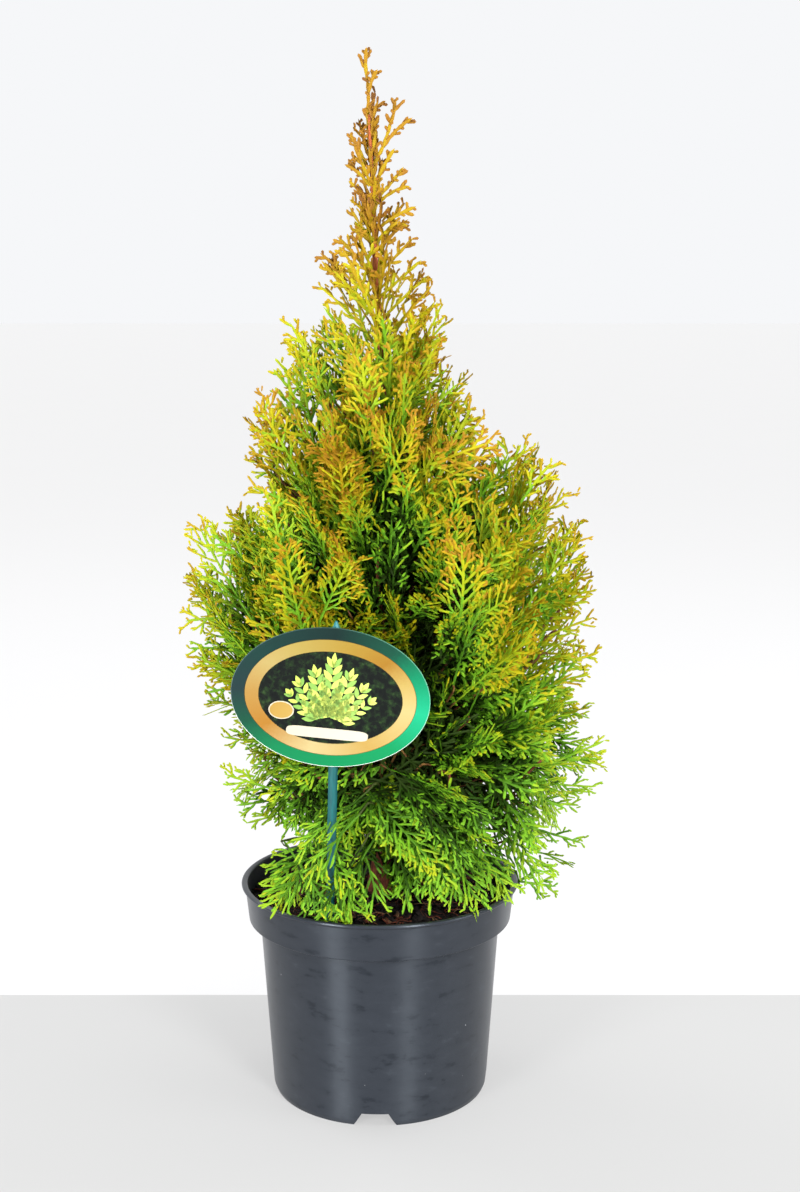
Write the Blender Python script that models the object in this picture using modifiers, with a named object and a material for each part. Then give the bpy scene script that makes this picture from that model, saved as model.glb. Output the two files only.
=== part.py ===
"""Potted thuja: a young golden arborvitae in a 17 cm nursery pot with its
oval plant label.  Metres, +Z up, front towards -Y.  The origin is the centre
of the pot's flat underside."""

import math

import bmesh
import bpy
from mathutils import Euler, Vector, noise

# ------------------------------------------------------------ driving sizes
CM = 0.01
GAP = 0.0003            # clearance between neighbouring solids

# pot
TURN_STEPS = 36         # facets of the turned pieces
POT_H = 0.1285          # overall height of the pot
POT_WALL = 0.0016
LIP_R = 0.0834          # rolled lip
BAND_TOP_R = 0.0810     # wide rim band, just under the lip
BAND_LOW_R = 0.0788
BAND_LOW_Z = 0.1060
BODY_TOP_R = 0.0722     # tapering body under the band
BASE_R = 0.0648
RECESS_Z = 0.0082       # hollow under the pot, between foot ring and middle
RECESS_OUT_R = 0.0610
MIDDLE_R = 0.0390       # flat middle disc that stands on the floor
NOTCHES = 4             # drain notches in the foot ring
NOTCH_W_LOW, NOTCH_W_TOP, NOTCH_H = 0.0250, 0.0155, 0.0078
NOTCH_TURN = -2.0       # degrees, of the front notch from -Y

# soil
SOIL_Z = 0.1195         # level patch round the stem
SOIL_EDGE_Z = 0.1172

# stem
STEM_TOP = 0.6065
STEM_PATH = (           # centre line: x, y, z in cm
    (0.00, 0.00, 11.98), (0.02, 0.00, 12.5), (0.05, -0.02, 13.4),
    (0.10, -0.05, 15.5), (0.18, -0.06, 19.0), (0.28, -0.02, 24.0),
    (0.34, 0.06, 29.0), (0.36, 0.10, 34.0), (0.40, 0.06, 38.0),
    (0.24, 0.00, 43.0), (-0.12, -0.02, 48.0), (-0.30, 0.00, 52.5),
    (-0.50, 0.00, 57.0), (-0.64, 0.00, 60.65),
)
STEM_R_MM = (9.6, 7.4, 6.2, 5.6, 5.1, 4.5, 3.9, 3.3, 2.8, 2.2, 1.6, 1.25, 0.9, 0.55)

# label
BOARD_A, BOARD_B, BOARD_T = 0.0545, 0.0398, 0.0009
BOARD_C = (-0.0257, -0.0803, 0.2583)
BOARD_ROLL = 6.0        # degrees, clockwise as seen from the front
STICK_FOOT = (-0.0290, -0.0588, 0.0850)
STICK_HEAD = (-0.0225, -0.0800, 0.2928)
STICK_R = 0.0025
PEG_R, PEG_H = 0.0026, 0.0085

# foliage masses: centre, half sizes (cm), lean of the top (cm), taper of the
# top, amount of lumpiness, share of room kept clear round the stem (cm)
MASSES = {
    "foliage_leader_tip": ((-0.30, 0.0, 57.35), (1.75, 1.60, 4.15), (-0.35, 0.0), 0.72, 0.26, None),
    "foliage_leader_neck": ((0.05, 0.1, 52.6), (1.95, 1.80, 3.00), (0.00, 0.0), 0.20, 0.30, None),
    "foliage_leader_left": ((-2.05, -0.4, 48.6), (1.75, 1.80, 3.30), (0.10, 0.1), 0.40, 0.28, 0.32),
    "foliage_leader_right": ((1.55, 0.0, 48.6), (1.75, 1.90, 3.60), (-0.30, 0.0), 0.30, 0.28, 0.32),
    "foliage_upper_left": ((-3.7, -0.8, 42.0), (3.20, 3.00, 5.20), (1.10, 0.3), 0.35, 0.24, 0.55),
    "foliage_upper_right": ((3.3, 0.3, 42.0), (2.90, 3.00, 5.60), (-1.10, 0.0), 0.30, 0.24, 0.55),
    "foliage_upper_front": ((-0.1, -3.4, 40.8), (2.90, 3.00, 6.20), (0.0, 1.1), 0.35, 0.24, 0.55),
    "foliage_upper_back": ((0.1, 3.6, 41.2), (3.20, 3.10, 6.20), (0.0, -1.2), 0.35, 0.24, 0.55),
    "foliage_mid_left_upper": ((-5.0, -3.0, 34.2), (3.40, 3.70, 6.20), (0.4, 0.7), 0.30, 0.22, 1.3),
    "foliage_mid_left": ((-8.1, 1.2, 29.6), (4.20, 4.40, 6.80), (-0.1, 0.0), 0.28, 0.22, 1.3),
    "foliage_mid_front": ((0.2, -6.0, 32.8), (4.10, 3.70, 6.80), (0.0, 0.8), 0.30, 0.22, 1.3),
    "foliage_mid_right_front": ((5.7, -5.0, 31.0), (3.60, 3.90, 6.90), (0.2, 0.7), 0.30, 0.22, 1.3),
    "foliage_mid_right_plume": ((9.1, 1.0, 32.0), (3.70, 4.10, 7.70), (0.3, -0.2), 0.28, 0.22, 1.3),
    "foliage_mid_back_right": ((4.3, 6.2, 32.2), (4.40, 4.40, 7.60), (-0.3, -1.0), 0.30, 0.22, 1.3),
    "foliage_mid_back_left": ((-4.2, 6.3, 32.4), (4.60, 4.40, 7.60), (0.3, -1.0), 0.30, 0.22, 1.3),
    "foliage_low_left": ((-7.2, 1.4, 20.6), (4.30, 4.80, 6.90), (-1.0, 0.0), -0.35, 0.22, 2.3),
    "foliage_low_front_left": ((-3.5, -4.1, 20.6), (5.00, 3.80, 7.50), (-0.8, 0.0), -0.20, 0.22, 2.3),
    "foliage_low_front": ((4.0, -6.5, 20.2), (4.00, 4.20, 7.70), (0.2, -0.2), -0.15, 0.22, 2.3),
    "foliage_low_front_right": ((8.3, -3.8, 20.2), (4.20, 4.40, 7.60), (0.6, -0.2), -0.25, 0.22, 2.3),
    "foliage_low_right": ((9.3, 2.0, 20.8), (5.30, 4.80, 7.40), (0.5, 0.0), -0.40, 0.22, 2.3),
    "foliage_low_back_right": ((4.9, 7.2, 20.4), (4.80, 4.50, 7.80), (0.5, 0.6), -0.25, 0.22, 2.3),
    "foliage_low_back_left": ((-3.4, 7.2, 20.4), (5.20, 4.50, 7.80), (-0.4, 0.6), -0.25, 0.22, 2.3),
}
MASS_FLOOR = 0.1318     # foliage stays above the lip
MASS_GAP = 0.0005       # between neighbouring masses
UNEVEN = 0.16           # dents, as a share of the radius
FULLNESS = 2.35         # 2 is egg-like, more is squarer
LABEL_WALLS = {         # room left for the label: outward normal, point (cm)
    "foliage_low_front_left": ((0, -0.9948, -0.1014), (0, -5.50, 8.5)),
    "foliage_low_front": ((-0.70711, -0.70711, 0), (3.1, -7.5, 0)),
    "foliage_mid_front": ((0, -0.77, -0.64), (0, -7.2, 31.2)),
    "foliage_mid_left_upper": ((0, -0.9948, -0.1014), (0, -5.50, 8.5)),
}

# boughs: height on the stem, mass that it feeds, rise to that mass (cm),
# radius at the stem and at the end (mm)
BOUGHS = {
    "bough_low_front": (13.6, "foliage_low_front", 2.6, 1.9, 1.2),
    "bough_low_left": (14.6, "foliage_low_left", 2.4, 2.0, 1.2),
    "bough_low_right": (14.2, "foliage_low_right", 2.8, 2.1, 1.3),
    "bough_low_back_left": (15.4, "foliage_low_back_left", 2.4, 1.9, 1.2),
    "bough_low_back_right": (16.2, "foliage_low_back_right", 2.4, 1.9, 1.2),
    "bough_low_front_left": (17.0, "foliage_low_front_left", 2.0, 1.8, 1.1),
    "bough_low_front_right": (17.6, "foliage_low_front_right", 2.2, 2.0, 1.2),
    "bough_mid_right_plume": (23.2, "foliage_mid_right_plume", 5.2, 2.2, 1.4),
    "bough_mid_left": (22.4, "foliage_mid_left", 4.6, 1.9, 1.2),
    "bough_mid_front": (24.6, "foliage_mid_front", 4.6, 1.7, 1.1),
    "bough_mid_back_right": (25.6, "foliage_mid_back_right", 4.4, 1.6, 1.1),
    "bough_mid_back_left": (26.4, "foliage_mid_back_left", 4.2, 1.6, 1.1),
}
BOUGH_BITE = 0.9        # cm that a bough runs into its mass

# --------------------------------------------------------------- scene setup
for old in list(bpy.data.objects):
    bpy.data.objects.remove(old, do_unlink=True)

parts = bpy.data.collections.new("potted_thuja")
cutters = bpy.data.collections.new("cutters")
bpy.context.scene.collection.children.link(parts)
bpy.context.scene.collection.children.link(cutters)


def material(name, colour, roughness, metallic=0.0):
    mat = bpy.data.materials.new(name)
    mat.use_nodes = True
    shader = mat.node_tree.nodes["Principled BSDF"]
    shader.inputs["Base Color"].default_value = (*colour, 1.0)
    shader.inputs["Roughness"].default_value = roughness
    shader.inputs["Metallic"].default_value = metallic
    mat.diffuse_color = (*colour, 1.0)
    return mat


MAT_POT = material("pot_plastic", (0.045, 0.050, 0.058), 0.42)
MAT_SOIL = material("potting_soil", (0.018, 0.012, 0.010), 0.95)
MAT_BARK = material("stem_bark", (0.27, 0.11, 0.05), 0.75)
MAT_BOUGH = material("bough_bark", (0.30, 0.12, 0.05), 0.72)
MAT_STICK = material("label_stick_plastic", (0.004, 0.10, 0.10), 0.40)
MAT_BOARD = material("label_board_plastic", (0.0, 0.28, 0.13), 0.30)
MAT_GOLD = material("foliage_gold", (0.46, 0.33, 0.02), 0.60)
MAT_LIME = material("foliage_lime", (0.24, 0.38, 0.02), 0.60)
MAT_GREEN = material("foliage_green", (0.10, 0.27, 0.02), 0.60)


def new_object(name, mesh, mat, collection=parts, location=(0, 0, 0)):
    obj = bpy.data.objects.new(name, mesh)
    obj.location = location
    obj.data.materials.append(mat)
    collection.objects.link(obj)
    return obj


def as_cutter(obj):
    obj.hide_render = True
    obj.display_type = "WIRE"
    return obj


def cut(obj, tool):
    mod = obj.modifiers.new("cut_" + tool.name, "BOOLEAN")
    mod.operation = "DIFFERENCE"
    mod.solver = "EXACT"
    mod.object = tool


def turned(name, profile, mat, steps=TURN_STEPS):
    """A turned solid: the profile runs down its outer side and ends on the axis."""
    mesh = bpy.data.meshes.new(name)
    mesh.from_pydata([(r, 0.0, z) for r, z in profile],
                     [(i, i + 1) for i in range(len(profile) - 1)], [])
    obj = new_object(name, mesh, mat)
    screw = obj.modifiers.new("turn", "SCREW")
    screw.axis = "Z"
    screw.angle = 2 * math.pi
    screw.steps = screw.render_steps = steps
    screw.use_merge_vertices = True
    screw.merge_threshold = 0.00005
    screw.use_smooth_shade = True
    return obj


# ------------------------------------------------------------------ the pot
t = POT_WALL
pot_profile = [
    # inside, from the middle of the floor up to the lip
    (0.0, t + 0.0004), (MIDDLE_R - 0.0016, t + 0.0004),
    (MIDDLE_R + 0.0018, RECESS_Z + t), (BASE_R - t - 0.0010, RECESS_Z + t),
    (BODY_TOP_R - t, BAND_LOW_Z - 0.0020),
    (BAND_LOW_R - t, BAND_LOW_Z + t), (BAND_TOP_R - t, POT_H - 0.0032),
    (BAND_TOP_R - t + 0.0004, POT_H - 0.0006),
    # lip
    (BAND_TOP_R + 0.0006, POT_H), (LIP_R - 0.0004, POT_H - 0.0007),
    (LIP_R, POT_H - 0.0021), (LIP_R - 0.0008, POT_H - 0.0034),
    (BAND_TOP_R, POT_H - 0.0038),
    # rim band and body, down the outside
    (BAND_LOW_R, BAND_LOW_Z + 0.0006), (BAND_LOW_R - 0.0008, BAND_LOW_Z),
    (BODY_TOP_R, BAND_LOW_Z - 0.0006),
    (BASE_R + 0.0003, 0.0024), (BASE_R - 0.0006, 0.0),
    # foot ring, hollow, middle disc
    (BASE_R - 0.0026, 0.0), (RECESS_OUT_R, RECESS_Z),
    (MIDDLE_R + 0.0032, RECESS_Z), (MIDDLE_R, 0.0), (0.0, 0.0),
]
pot = turned("pot", pot_profile, MAT_POT)

for k in range(NOTCHES):
    bm = bmesh.new()
    bmesh.ops.create_cube(bm, size=1.0)
    for v in bm.verts:
        top = v.co.z > 0
        width = NOTCH_W_TOP if top else NOTCH_W_LOW + 0.0048
        v.co = Vector((v.co.x * width,
                       -0.0620 + v.co.y * 0.0150,
                       NOTCH_H if top else -0.0040))
    bmesh.ops.recalc_face_normals(bm, faces=bm.faces)
    mesh = bpy.data.meshes.new("notch_%d" % k)
    bm.to_mesh(mesh)
    bm.free()
    tool = as_cutter(new_object("notch_%d" % k, mesh, MAT_POT, cutters))
    tool.rotation_euler = Euler((0, 0, math.radians(NOTCH_TURN + 360.0 / NOTCHES * k)))
    cut(pot, tool)

# ------------------------------------------------------------------ the soil
g = GAP + 0.0001
soil_profile = [
    (0.0, SOIL_Z), (0.0170, SOIL_Z), (0.0480, SOIL_Z - 0.0008),
    (BAND_TOP_R - t - g - 0.0014, SOIL_EDGE_Z),
    (BAND_LOW_R - t - g, BAND_LOW_Z + t + g),
    (BODY_TOP_R - t - g, BAND_LOW_Z - 0.0020),
    (BASE_R - t - 0.0010 - g, RECESS_Z + t + g),
    (MIDDLE_R + 0.0018 - g, RECESS_Z + t + g),
    (MIDDLE_R - 0.0016 - g, t + 0.0004 + g),
    (0.0, t + 0.0004 + g),
]
soil = turned("soil", soil_profile, MAT_SOIL)


# ------------------------------------------------------------------- limbs
def smooth_path(points, per_span):
    """Points read from a Catmull-Rom curve through the given ones."""
    pts = [Vector(p) for p in points]
    pts = [pts[0] * 2 - pts[1]] + pts + [pts[-1] * 2 - pts[-2]]
    out = []
    for i in range(1, len(pts) - 2):
        p0, p1, p2, p3 = pts[i - 1:i + 3]
        for s in range(per_span):
            u = s / per_span
            out.append(0.5 * ((2 * p1) + (p2 - p0) * u
                              + (2 * p0 - 5 * p1 + 4 * p2 - p3) * u * u
                              + (3 * p1 - p0 - 3 * p2 + p3) * u ** 3))
    out.append(pts[-2])
    return out


def limb(name, path, radii, mat, collection=parts, resolution=2):
    """One tapering limb: a bevelled curve with filled caps, made a mesh."""
    curve = bpy.data.curves.new(name + "_curve", "CURVE")
    curve.dimensions = "3D"
    curve.bevel_depth = 1.0
    curve.bevel_resolution = resolution
    curve.use_fill_caps = True
    spline = curve.splines.new("POLY")
    spline.points.add(len(path) - 1)
    for point, place, radius in zip(spline.points, path, radii):
        point.co = (*place, 1.0)
        point.radius = radius
    guide = bpy.data.objects.new(name + "_curve", curve)
    bpy.context.scene.collection.objects.link(guide)
    bpy.context.view_layer.update()
    graph = bpy.context.evaluated_depsgraph_get()
    mesh = bpy.data.meshes.new_from_object(guide.evaluated_get(graph))
    bpy.data.objects.remove(guide, do_unlink=True)
    mesh.name = name
    bm = bmesh.new()
    bm.from_mesh(mesh)
    bmesh.ops.remove_doubles(bm, verts=bm.verts, dist=0.00001)
    bmesh.ops.recalc_face_normals(bm, faces=bm.faces)
    bm.to_mesh(mesh)
    bm.free()
    mesh.materials.clear()
    mesh.shade_smooth()
    mesh.set_sharp_from_angle(angle=math.radians(40))
    return new_object(name, mesh, mat, collection)


stem_path = [Vector(p) * CM for p in STEM_PATH]
stem_path[0].z = SOIL_Z + GAP
stem_path[1].x, stem_path[1].y = stem_path[0].x, stem_path[0].y
stem = limb("stem", stem_path, [r / 1000 for r in STEM_R_MM], MAT_BARK)
stem_tool = as_cutter(limb("stem_clearance", stem_path,
                           [r / 1000 + 0.00035 for r in STEM_R_MM], MAT_BARK, cutters))


def stem_at(z):
    """Centre and radius of the stem at a height."""
    for a, b, ra, rb in zip(stem_path, stem_path[1:], STEM_R_MM, STEM_R_MM[1:]):
        if a.z <= z <= b.z:
            u = (z - a.z) / (b.z - a.z)
            return a.lerp(b, u), (ra + (rb - ra) * u) / 1000
    return stem_path[-1].copy(), STEM_R_MM[-1] / 1000


# ------------------------------------------------------------ foliage masses
def mass_form(u, half, lean, taper, lump, seed):
    """Where the direction u of a unit ball goes on the uneven mass."""
    shift = Vector((seed * 7.31, seed * 3.17, seed * 5.71))
    full = sum(abs(x) ** FULLNESS for x in u) ** (-1.0 / FULLNESS)
    r = full + lump * noise.noise(u * 1.7 + shift) + lump * 0.8 * noise.noise(u * 3.6 + shift)
    if taper < 0:           # drawn in towards the bottom
        side = 1.0 + taper * max(0.0, -u.z)
    else:                   # drawn in towards the top
        side = 1.0 - taper * (u.z if u.z > 0 else 0.25 * u.z)
    return Vector((u.x * r * side * half[0] + lean[0] * u.z,
                   u.y * r * side * half[1] + lean[1] * u.z,
                   u.z * r * half[2])) * CM


def reach(half, direction):
    """Half size of the ball-like form towards a direction."""
    return 1.0 / math.sqrt(sum((d / h) ** 2 for d, h in zip(direction, half)))


def walls_of(name):
    """Planes (normal, distance from the centre) that keep a mass in its own room."""
    centre, half = Vector(MASSES[name][0]), MASSES[name][1]
    walls = []
    for other, spec in MASSES.items():
        if other == name:
            continue
        away = Vector(spec[0]) - centre
        gap = away.length
        away.normalize()
        mine, theirs = reach(half, away), reach(spec[1], away)
        walls.append((away, gap * mine / (mine + theirs) * CM - MASS_GAP / 2))
    clear = MASSES[name][5]
    if clear is not None:
        axis, _ = stem_at(centre.z * CM)
        inward = Vector((axis.x / CM - centre.x, axis.y / CM - centre.y, 0.0))
        far = inward.length
        inward.normalize()
        walls.append((inward, (far - clear) * CM))
    walls.append((Vector((0, 0, -1)), centre.z * CM - MASS_FLOOR))
    if name in LABEL_WALLS:
        normal, point = map(Vector, LABEL_WALLS[name])
        walls.append((normal, (point - centre).dot(normal) * CM))
    return walls


def foliage_mass(name, index):
    centre, half, lean, taper, lump, clear = MASSES[name]
    small = name.startswith("foliage_leader")
    bm = bmesh.new()
    bmesh.ops.create_uvsphere(bm, u_segments=10 if small else 14,
                              v_segments=8 if small else 10, radius=1.0)
    walls = walls_of(name)
    for v in bm.verts:
        p = mass_form(v.co.normalized(), half, lean, taper, lump, index + 1)
        k = 1.0
        for normal, distance in walls:
            along = p.dot(normal)
            if along > distance:
                k = min(k, distance / along)
        k = min(k, 1.0)
        v.co = p * k * (1.0 - UNEVEN * abs(noise.noise(p / CM * 0.55)))
    bmesh.ops.recalc_face_normals(bm, faces=bm.faces)
    mesh = bpy.data.meshes.new(name)
    bm.to_mesh(mesh)
    bm.free()
    mesh.shade_smooth()
    high = centre[2]
    mat = MAT_GOLD if high > 38 else MAT_LIME if high > 28 else MAT_GREEN
    return new_object(name, mesh, mat, location=Vector(centre) * CM)


masses = {name: foliage_mass(name, i) for i, name in enumerate(MASSES)}
for name in ("foliage_leader_tip", "foliage_leader_neck"):
    cut(masses[name], stem_tool)

# -------------------------------------------------------------------- boughs
for name, (height, mass, rise, r_stem, r_end) in BOUGHS.items():
    start, r_axis = stem_at(height * CM)
    centre = Vector(MASSES[mass][0]) * CM
    away = Vector((centre.x - start.x, centre.y - start.y, 0.0)).normalized()
    edge = MASSES[mass][5] * CM
    length = edge + BOUGH_BITE * CM
    base = start + away * (r_axis + GAP + r_stem / 1000 * 0.85)
    tip = start + away * length + Vector((0, 0, rise * CM))
    bend = base.lerp(tip, 0.5) + away * (0.10 * length) - Vector((0, 0, 0.08 * rise * CM))
    path = smooth_path([base, bend, tip], 3)
    n = len(path) - 1
    radii = [(r_stem + (r_end - r_stem) * i / n) / 1000 for i in range(n + 1)]
    limb(name, path, radii, MAT_BOUGH, resolution=1)
    over = (path[-1] - path[-2]).normalized() * 0.0006
    tool = limb(name + "_clearance", path[1:-1] + [path[-1] + over],
                [r + 0.0004 for r in radii[1:]], MAT_BOUGH, cutters, resolution=1)
    cut(masses[mass], as_cutter(tool))

# --------------------------------------------------------------------- label
curve = bpy.data.curves.new("label_outline", "CURVE")
curve.dimensions = "2D"
curve.fill_mode = "BOTH"
curve.extrude = BOARD_T / 2
spline = curve.splines.new("POLY")
sides = 40
spline.points.add(sides - 1)
for k, point in enumerate(spline.points):
    angle = 2 * math.pi * k / sides
    point.co = (BOARD_A * math.cos(angle), BOARD_B * math.sin(angle), 0.0, 1.0)
spline.use_cyclic_u = True
stick_dir = (Vector(STICK_HEAD) - Vector(STICK_FOOT)).normalized()
tilt = math.atan2(-stick_dir.y, stick_dir.z)
guide = bpy.data.objects.new("label_outline", curve)
bpy.context.scene.collection.objects.link(guide)
bpy.context.view_layer.update()
mesh = bpy.data.meshes.new_from_object(
    guide.evaluated_get(bpy.context.evaluated_depsgraph_get()))
bpy.data.objects.remove(guide, do_unlink=True)
bm = bmesh.new()
bm.from_mesh(mesh)
bmesh.ops.remove_doubles(bm, verts=bm.verts, dist=0.00001)
bmesh.ops.recalc_face_normals(bm, faces=bm.faces)
bm.to_mesh(mesh)
bm.free()
mesh.materials.clear()
board = new_object("label_board", mesh, MAT_BOARD, location=BOARD_C)
# upright, leaning with the stick, rolled clockwise as seen from the front
board.rotation_mode = "QUATERNION"
board.rotation_quaternion = (
    Euler((math.radians(90) + tilt, 0, 0)).to_quaternion()
    @ Euler((0, 0, -math.radians(BOARD_ROLL))).to_quaternion())

foot, head = Vector(STICK_FOOT), Vector(STICK_HEAD)
stick_path = [foot.lerp(head, s) for s in (0.0, 0.04, 0.5, 1.0)]
stick = limb("label_stick", stick_path, [0.0006, 0.0019, 0.0022, STICK_R], MAT_STICK)
stick_tool = as_cutter(limb("label_stick_clearance",
                            [foot - stick_dir * 0.0006] + stick_path[1:],
                            [0.0010, 0.0023, 0.0026, STICK_R + 0.0004],
                            MAT_STICK, cutters))
cut(soil, stick_tool)

bm = bmesh.new()
bmesh.ops.create_cone(bm, cap_ends=True, segments=14, radius1=PEG_R, radius2=0.0006,
                      depth=PEG_H)
mesh = bpy.data.meshes.new("label_peg")
bm.to_mesh(mesh)
bm.free()
mesh.shade_smooth()
mesh.set_sharp_from_angle(angle=math.radians(40))
peg = new_object("label_peg", mesh, MAT_STICK,
                 location=head + stick_dir * (GAP + PEG_H / 2))
peg.rotation_mode = "QUATERNION"
peg.rotation_quaternion = Vector((0, 0, 1)).rotation_difference(stick_dir)
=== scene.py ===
"""Looks of the potted thuja: fronds of scale leaves grown from the limbs,
bark, compost, the moulded pot and its label.  Metres, +Z up, front is -Y."""

import math

import bmesh
import bpy
import numpy as np
from mathutils import Matrix, Vector, noise
from mathutils.bvhtree import BVHTree


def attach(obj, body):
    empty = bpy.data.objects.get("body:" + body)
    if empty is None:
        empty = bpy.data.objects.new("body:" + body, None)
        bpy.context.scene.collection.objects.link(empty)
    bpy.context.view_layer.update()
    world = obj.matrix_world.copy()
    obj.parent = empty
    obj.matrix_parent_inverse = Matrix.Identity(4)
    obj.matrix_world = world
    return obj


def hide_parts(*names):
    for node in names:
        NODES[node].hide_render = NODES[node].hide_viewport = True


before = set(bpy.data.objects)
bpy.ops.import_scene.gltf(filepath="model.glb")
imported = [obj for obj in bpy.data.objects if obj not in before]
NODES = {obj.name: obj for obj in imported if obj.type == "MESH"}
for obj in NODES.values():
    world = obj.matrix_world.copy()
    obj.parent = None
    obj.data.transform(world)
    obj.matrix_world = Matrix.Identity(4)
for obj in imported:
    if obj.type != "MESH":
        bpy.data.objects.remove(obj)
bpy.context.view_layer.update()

CM = 0.01
rng = np.random.default_rng(7151)

# ------------------------------------------------------------------ colours
def lin(r, g, b):
    """sRGB 0..255 to linear."""
    out = []
    for c in (r, g, b):
        c /= 255.0
        out.append(c / 12.92 if c <= 0.04045 else ((c + 0.055) / 1.055) ** 2.4)
    return out


# from shade green through lime and gold to winter bronze
TINTS = [
    ("shade", (33, 49, 13)), ("deep", (38, 66, 12)), ("leaf", (68, 112, 18)),
    ("fresh", (100, 149, 28)), ("lime", (126, 158, 28)), ("pear", (147, 158, 20)),
    ("straw", (161, 152, 16)), ("gold", (156, 128, 17)), ("amber", (150, 111, 22)),
    ("orange", (140, 97, 28)), ("bronze", (117, 77, 33)), ("umber", (86, 56, 22)),
]


# ---------------------------------------------------------------- materials
def principled(name, colour, roughness, specular=0.5, metallic=0.0):
    mat = bpy.data.materials.new(name)
    mat.use_nodes = True
    bsdf = mat.node_tree.nodes["Principled BSDF"]
    bsdf.inputs["Base Color"].default_value = (*colour, 1)
    bsdf.inputs["Roughness"].default_value = roughness
    bsdf.inputs["Specular IOR Level"].default_value = specular
    bsdf.inputs["Metallic"].default_value = metallic
    return mat, mat.node_tree, bsdf


def node(tree, kind, **values):
    n = tree.nodes.new(kind)
    for key, value in values.items():
        if key in n.inputs:
            n.inputs[key].default_value = value
        else:
            setattr(n, key, value)
    return n


def ramp(tree, factor, stops):
    n = tree.nodes.new("ShaderNodeValToRGB")
    while len(n.color_ramp.elements) < len(stops):
        n.color_ramp.elements.new(0.5)
    for element, (place, colour) in zip(n.color_ramp.elements, stops):
        element.position = place
        element.color = (*colour, 1) if len(colour) == 3 else colour
    tree.links.new(factor, n.inputs["Fac"])
    return n.outputs["Color"]


def maths(tree, operation, a, b=None):
    n = tree.nodes.new("ShaderNodeMath")
    n.operation = operation
    for socket, value in zip(n.inputs, (a, b)):
        if value is None:
            continue
        if isinstance(value, (int, float)):
            socket.default_value = value
        else:
            tree.links.new(value, socket)
    return n.outputs[0]


def mapped(tree, scale=(1, 1, 1), coords="Object"):
    tc = tree.nodes.new("ShaderNodeTexCoord")
    mp = tree.nodes.new("ShaderNodeMapping")
    mp.inputs["Scale"].default_value = scale
    tree.links.new(tc.outputs[coords], mp.inputs["Vector"])
    return mp.outputs["Vector"]


def noise_tex(tree, vector, scale, detail=3.0, rough=0.55):
    n = tree.nodes.new("ShaderNodeTexNoise")
    n.inputs["Scale"].default_value = scale
    n.inputs["Detail"].default_value = detail
    n.inputs["Roughness"].default_value = rough
    tree.links.new(vector, n.inputs["Vector"])
    return n.outputs["Fac"]


def bump(tree, bsdf, height, strength, distance):
    n = tree.nodes.new("ShaderNodeBump")
    n.inputs["Strength"].default_value = strength
    n.inputs["Distance"].default_value = distance
    tree.links.new(height, n.inputs["Height"])
    tree.links.new(n.outputs["Normal"], bsdf.inputs["Normal"])
    return n


# ------------------------------------------------------------- mesh helpers
def make_mesh(name, verts, faces, material, smooth=True, slot=None, body="root"):
    """One riding piece from arrays: faces is a list of (n, k) index arrays."""
    mesh = bpy.data.meshes.new(name)
    verts = np.asarray(verts, np.float32)
    groups = [np.asarray(f, np.int32) for f in faces if len(f)]
    mesh.vertices.add(len(verts))
    mesh.vertices.foreach_set("co", verts.ravel())
    loops = np.concatenate([g.ravel() for g in groups])
    sizes = np.concatenate([np.full(len(g), g.shape[1], np.int32) for g in groups])
    mesh.loops.add(len(loops))
    mesh.loops.foreach_set("vertex_index", loops)
    mesh.polygons.add(len(sizes))
    starts = np.concatenate([[0], np.cumsum(sizes)[:-1]]).astype(np.int32)
    mesh.polygons.foreach_set("loop_start", starts)
    mesh.polygons.foreach_set("loop_total", sizes)
    mesh.update(calc_edges=True)
    mesh.validate()
    if smooth:
        mesh.shade_smooth()
    mesh.materials.append(material)
    obj = bpy.data.objects.new(name, mesh)
    bpy.context.scene.collection.objects.link(obj)
    if body:
        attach(obj, body)
    return obj


def turned(profile, steps, twist=0.0):
    """Vertices and quads of a turned open surface, from (r, z) pairs."""
    profile = np.asarray(profile, float)
    angle = np.linspace(0, 2 * np.pi, steps, endpoint=False) + twist
    v = np.stack([profile[:, 0][:, None] * np.cos(angle),
                  profile[:, 0][:, None] * np.sin(angle),
                  np.repeat(profile[:, 1][:, None], steps, 1)], -1).reshape(-1, 3)
    i = np.arange(len(profile) - 1)[:, None] * steps
    j = np.arange(steps)[None, :]
    k = (j + 1) % steps
    quads = np.stack([i + j, i + k, i + steps + k, i + steps + j], -1).reshape(-1, 4)
    return v, quads


def path_frames(points):
    """Tangent, side and up at each point of a path, without twist."""
    p = np.asarray(points, float)
    t = np.gradient(p, axis=0)
    t /= np.linalg.norm(t, axis=1)[:, None] + 1e-12
    side = np.zeros_like(p)
    ref = np.array([1.0, 0.0, 0.0]) if abs(t[0][0]) < 0.9 else np.array([0.0, 1.0, 0.0])
    s = np.cross(t[0], ref)
    s /= np.linalg.norm(s)
    for i in range(len(p)):
        s = s - t[i] * (s @ t[i])
        s /= np.linalg.norm(s) + 1e-12
        side[i] = s
    return t, side, np.cross(t, side)


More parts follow.
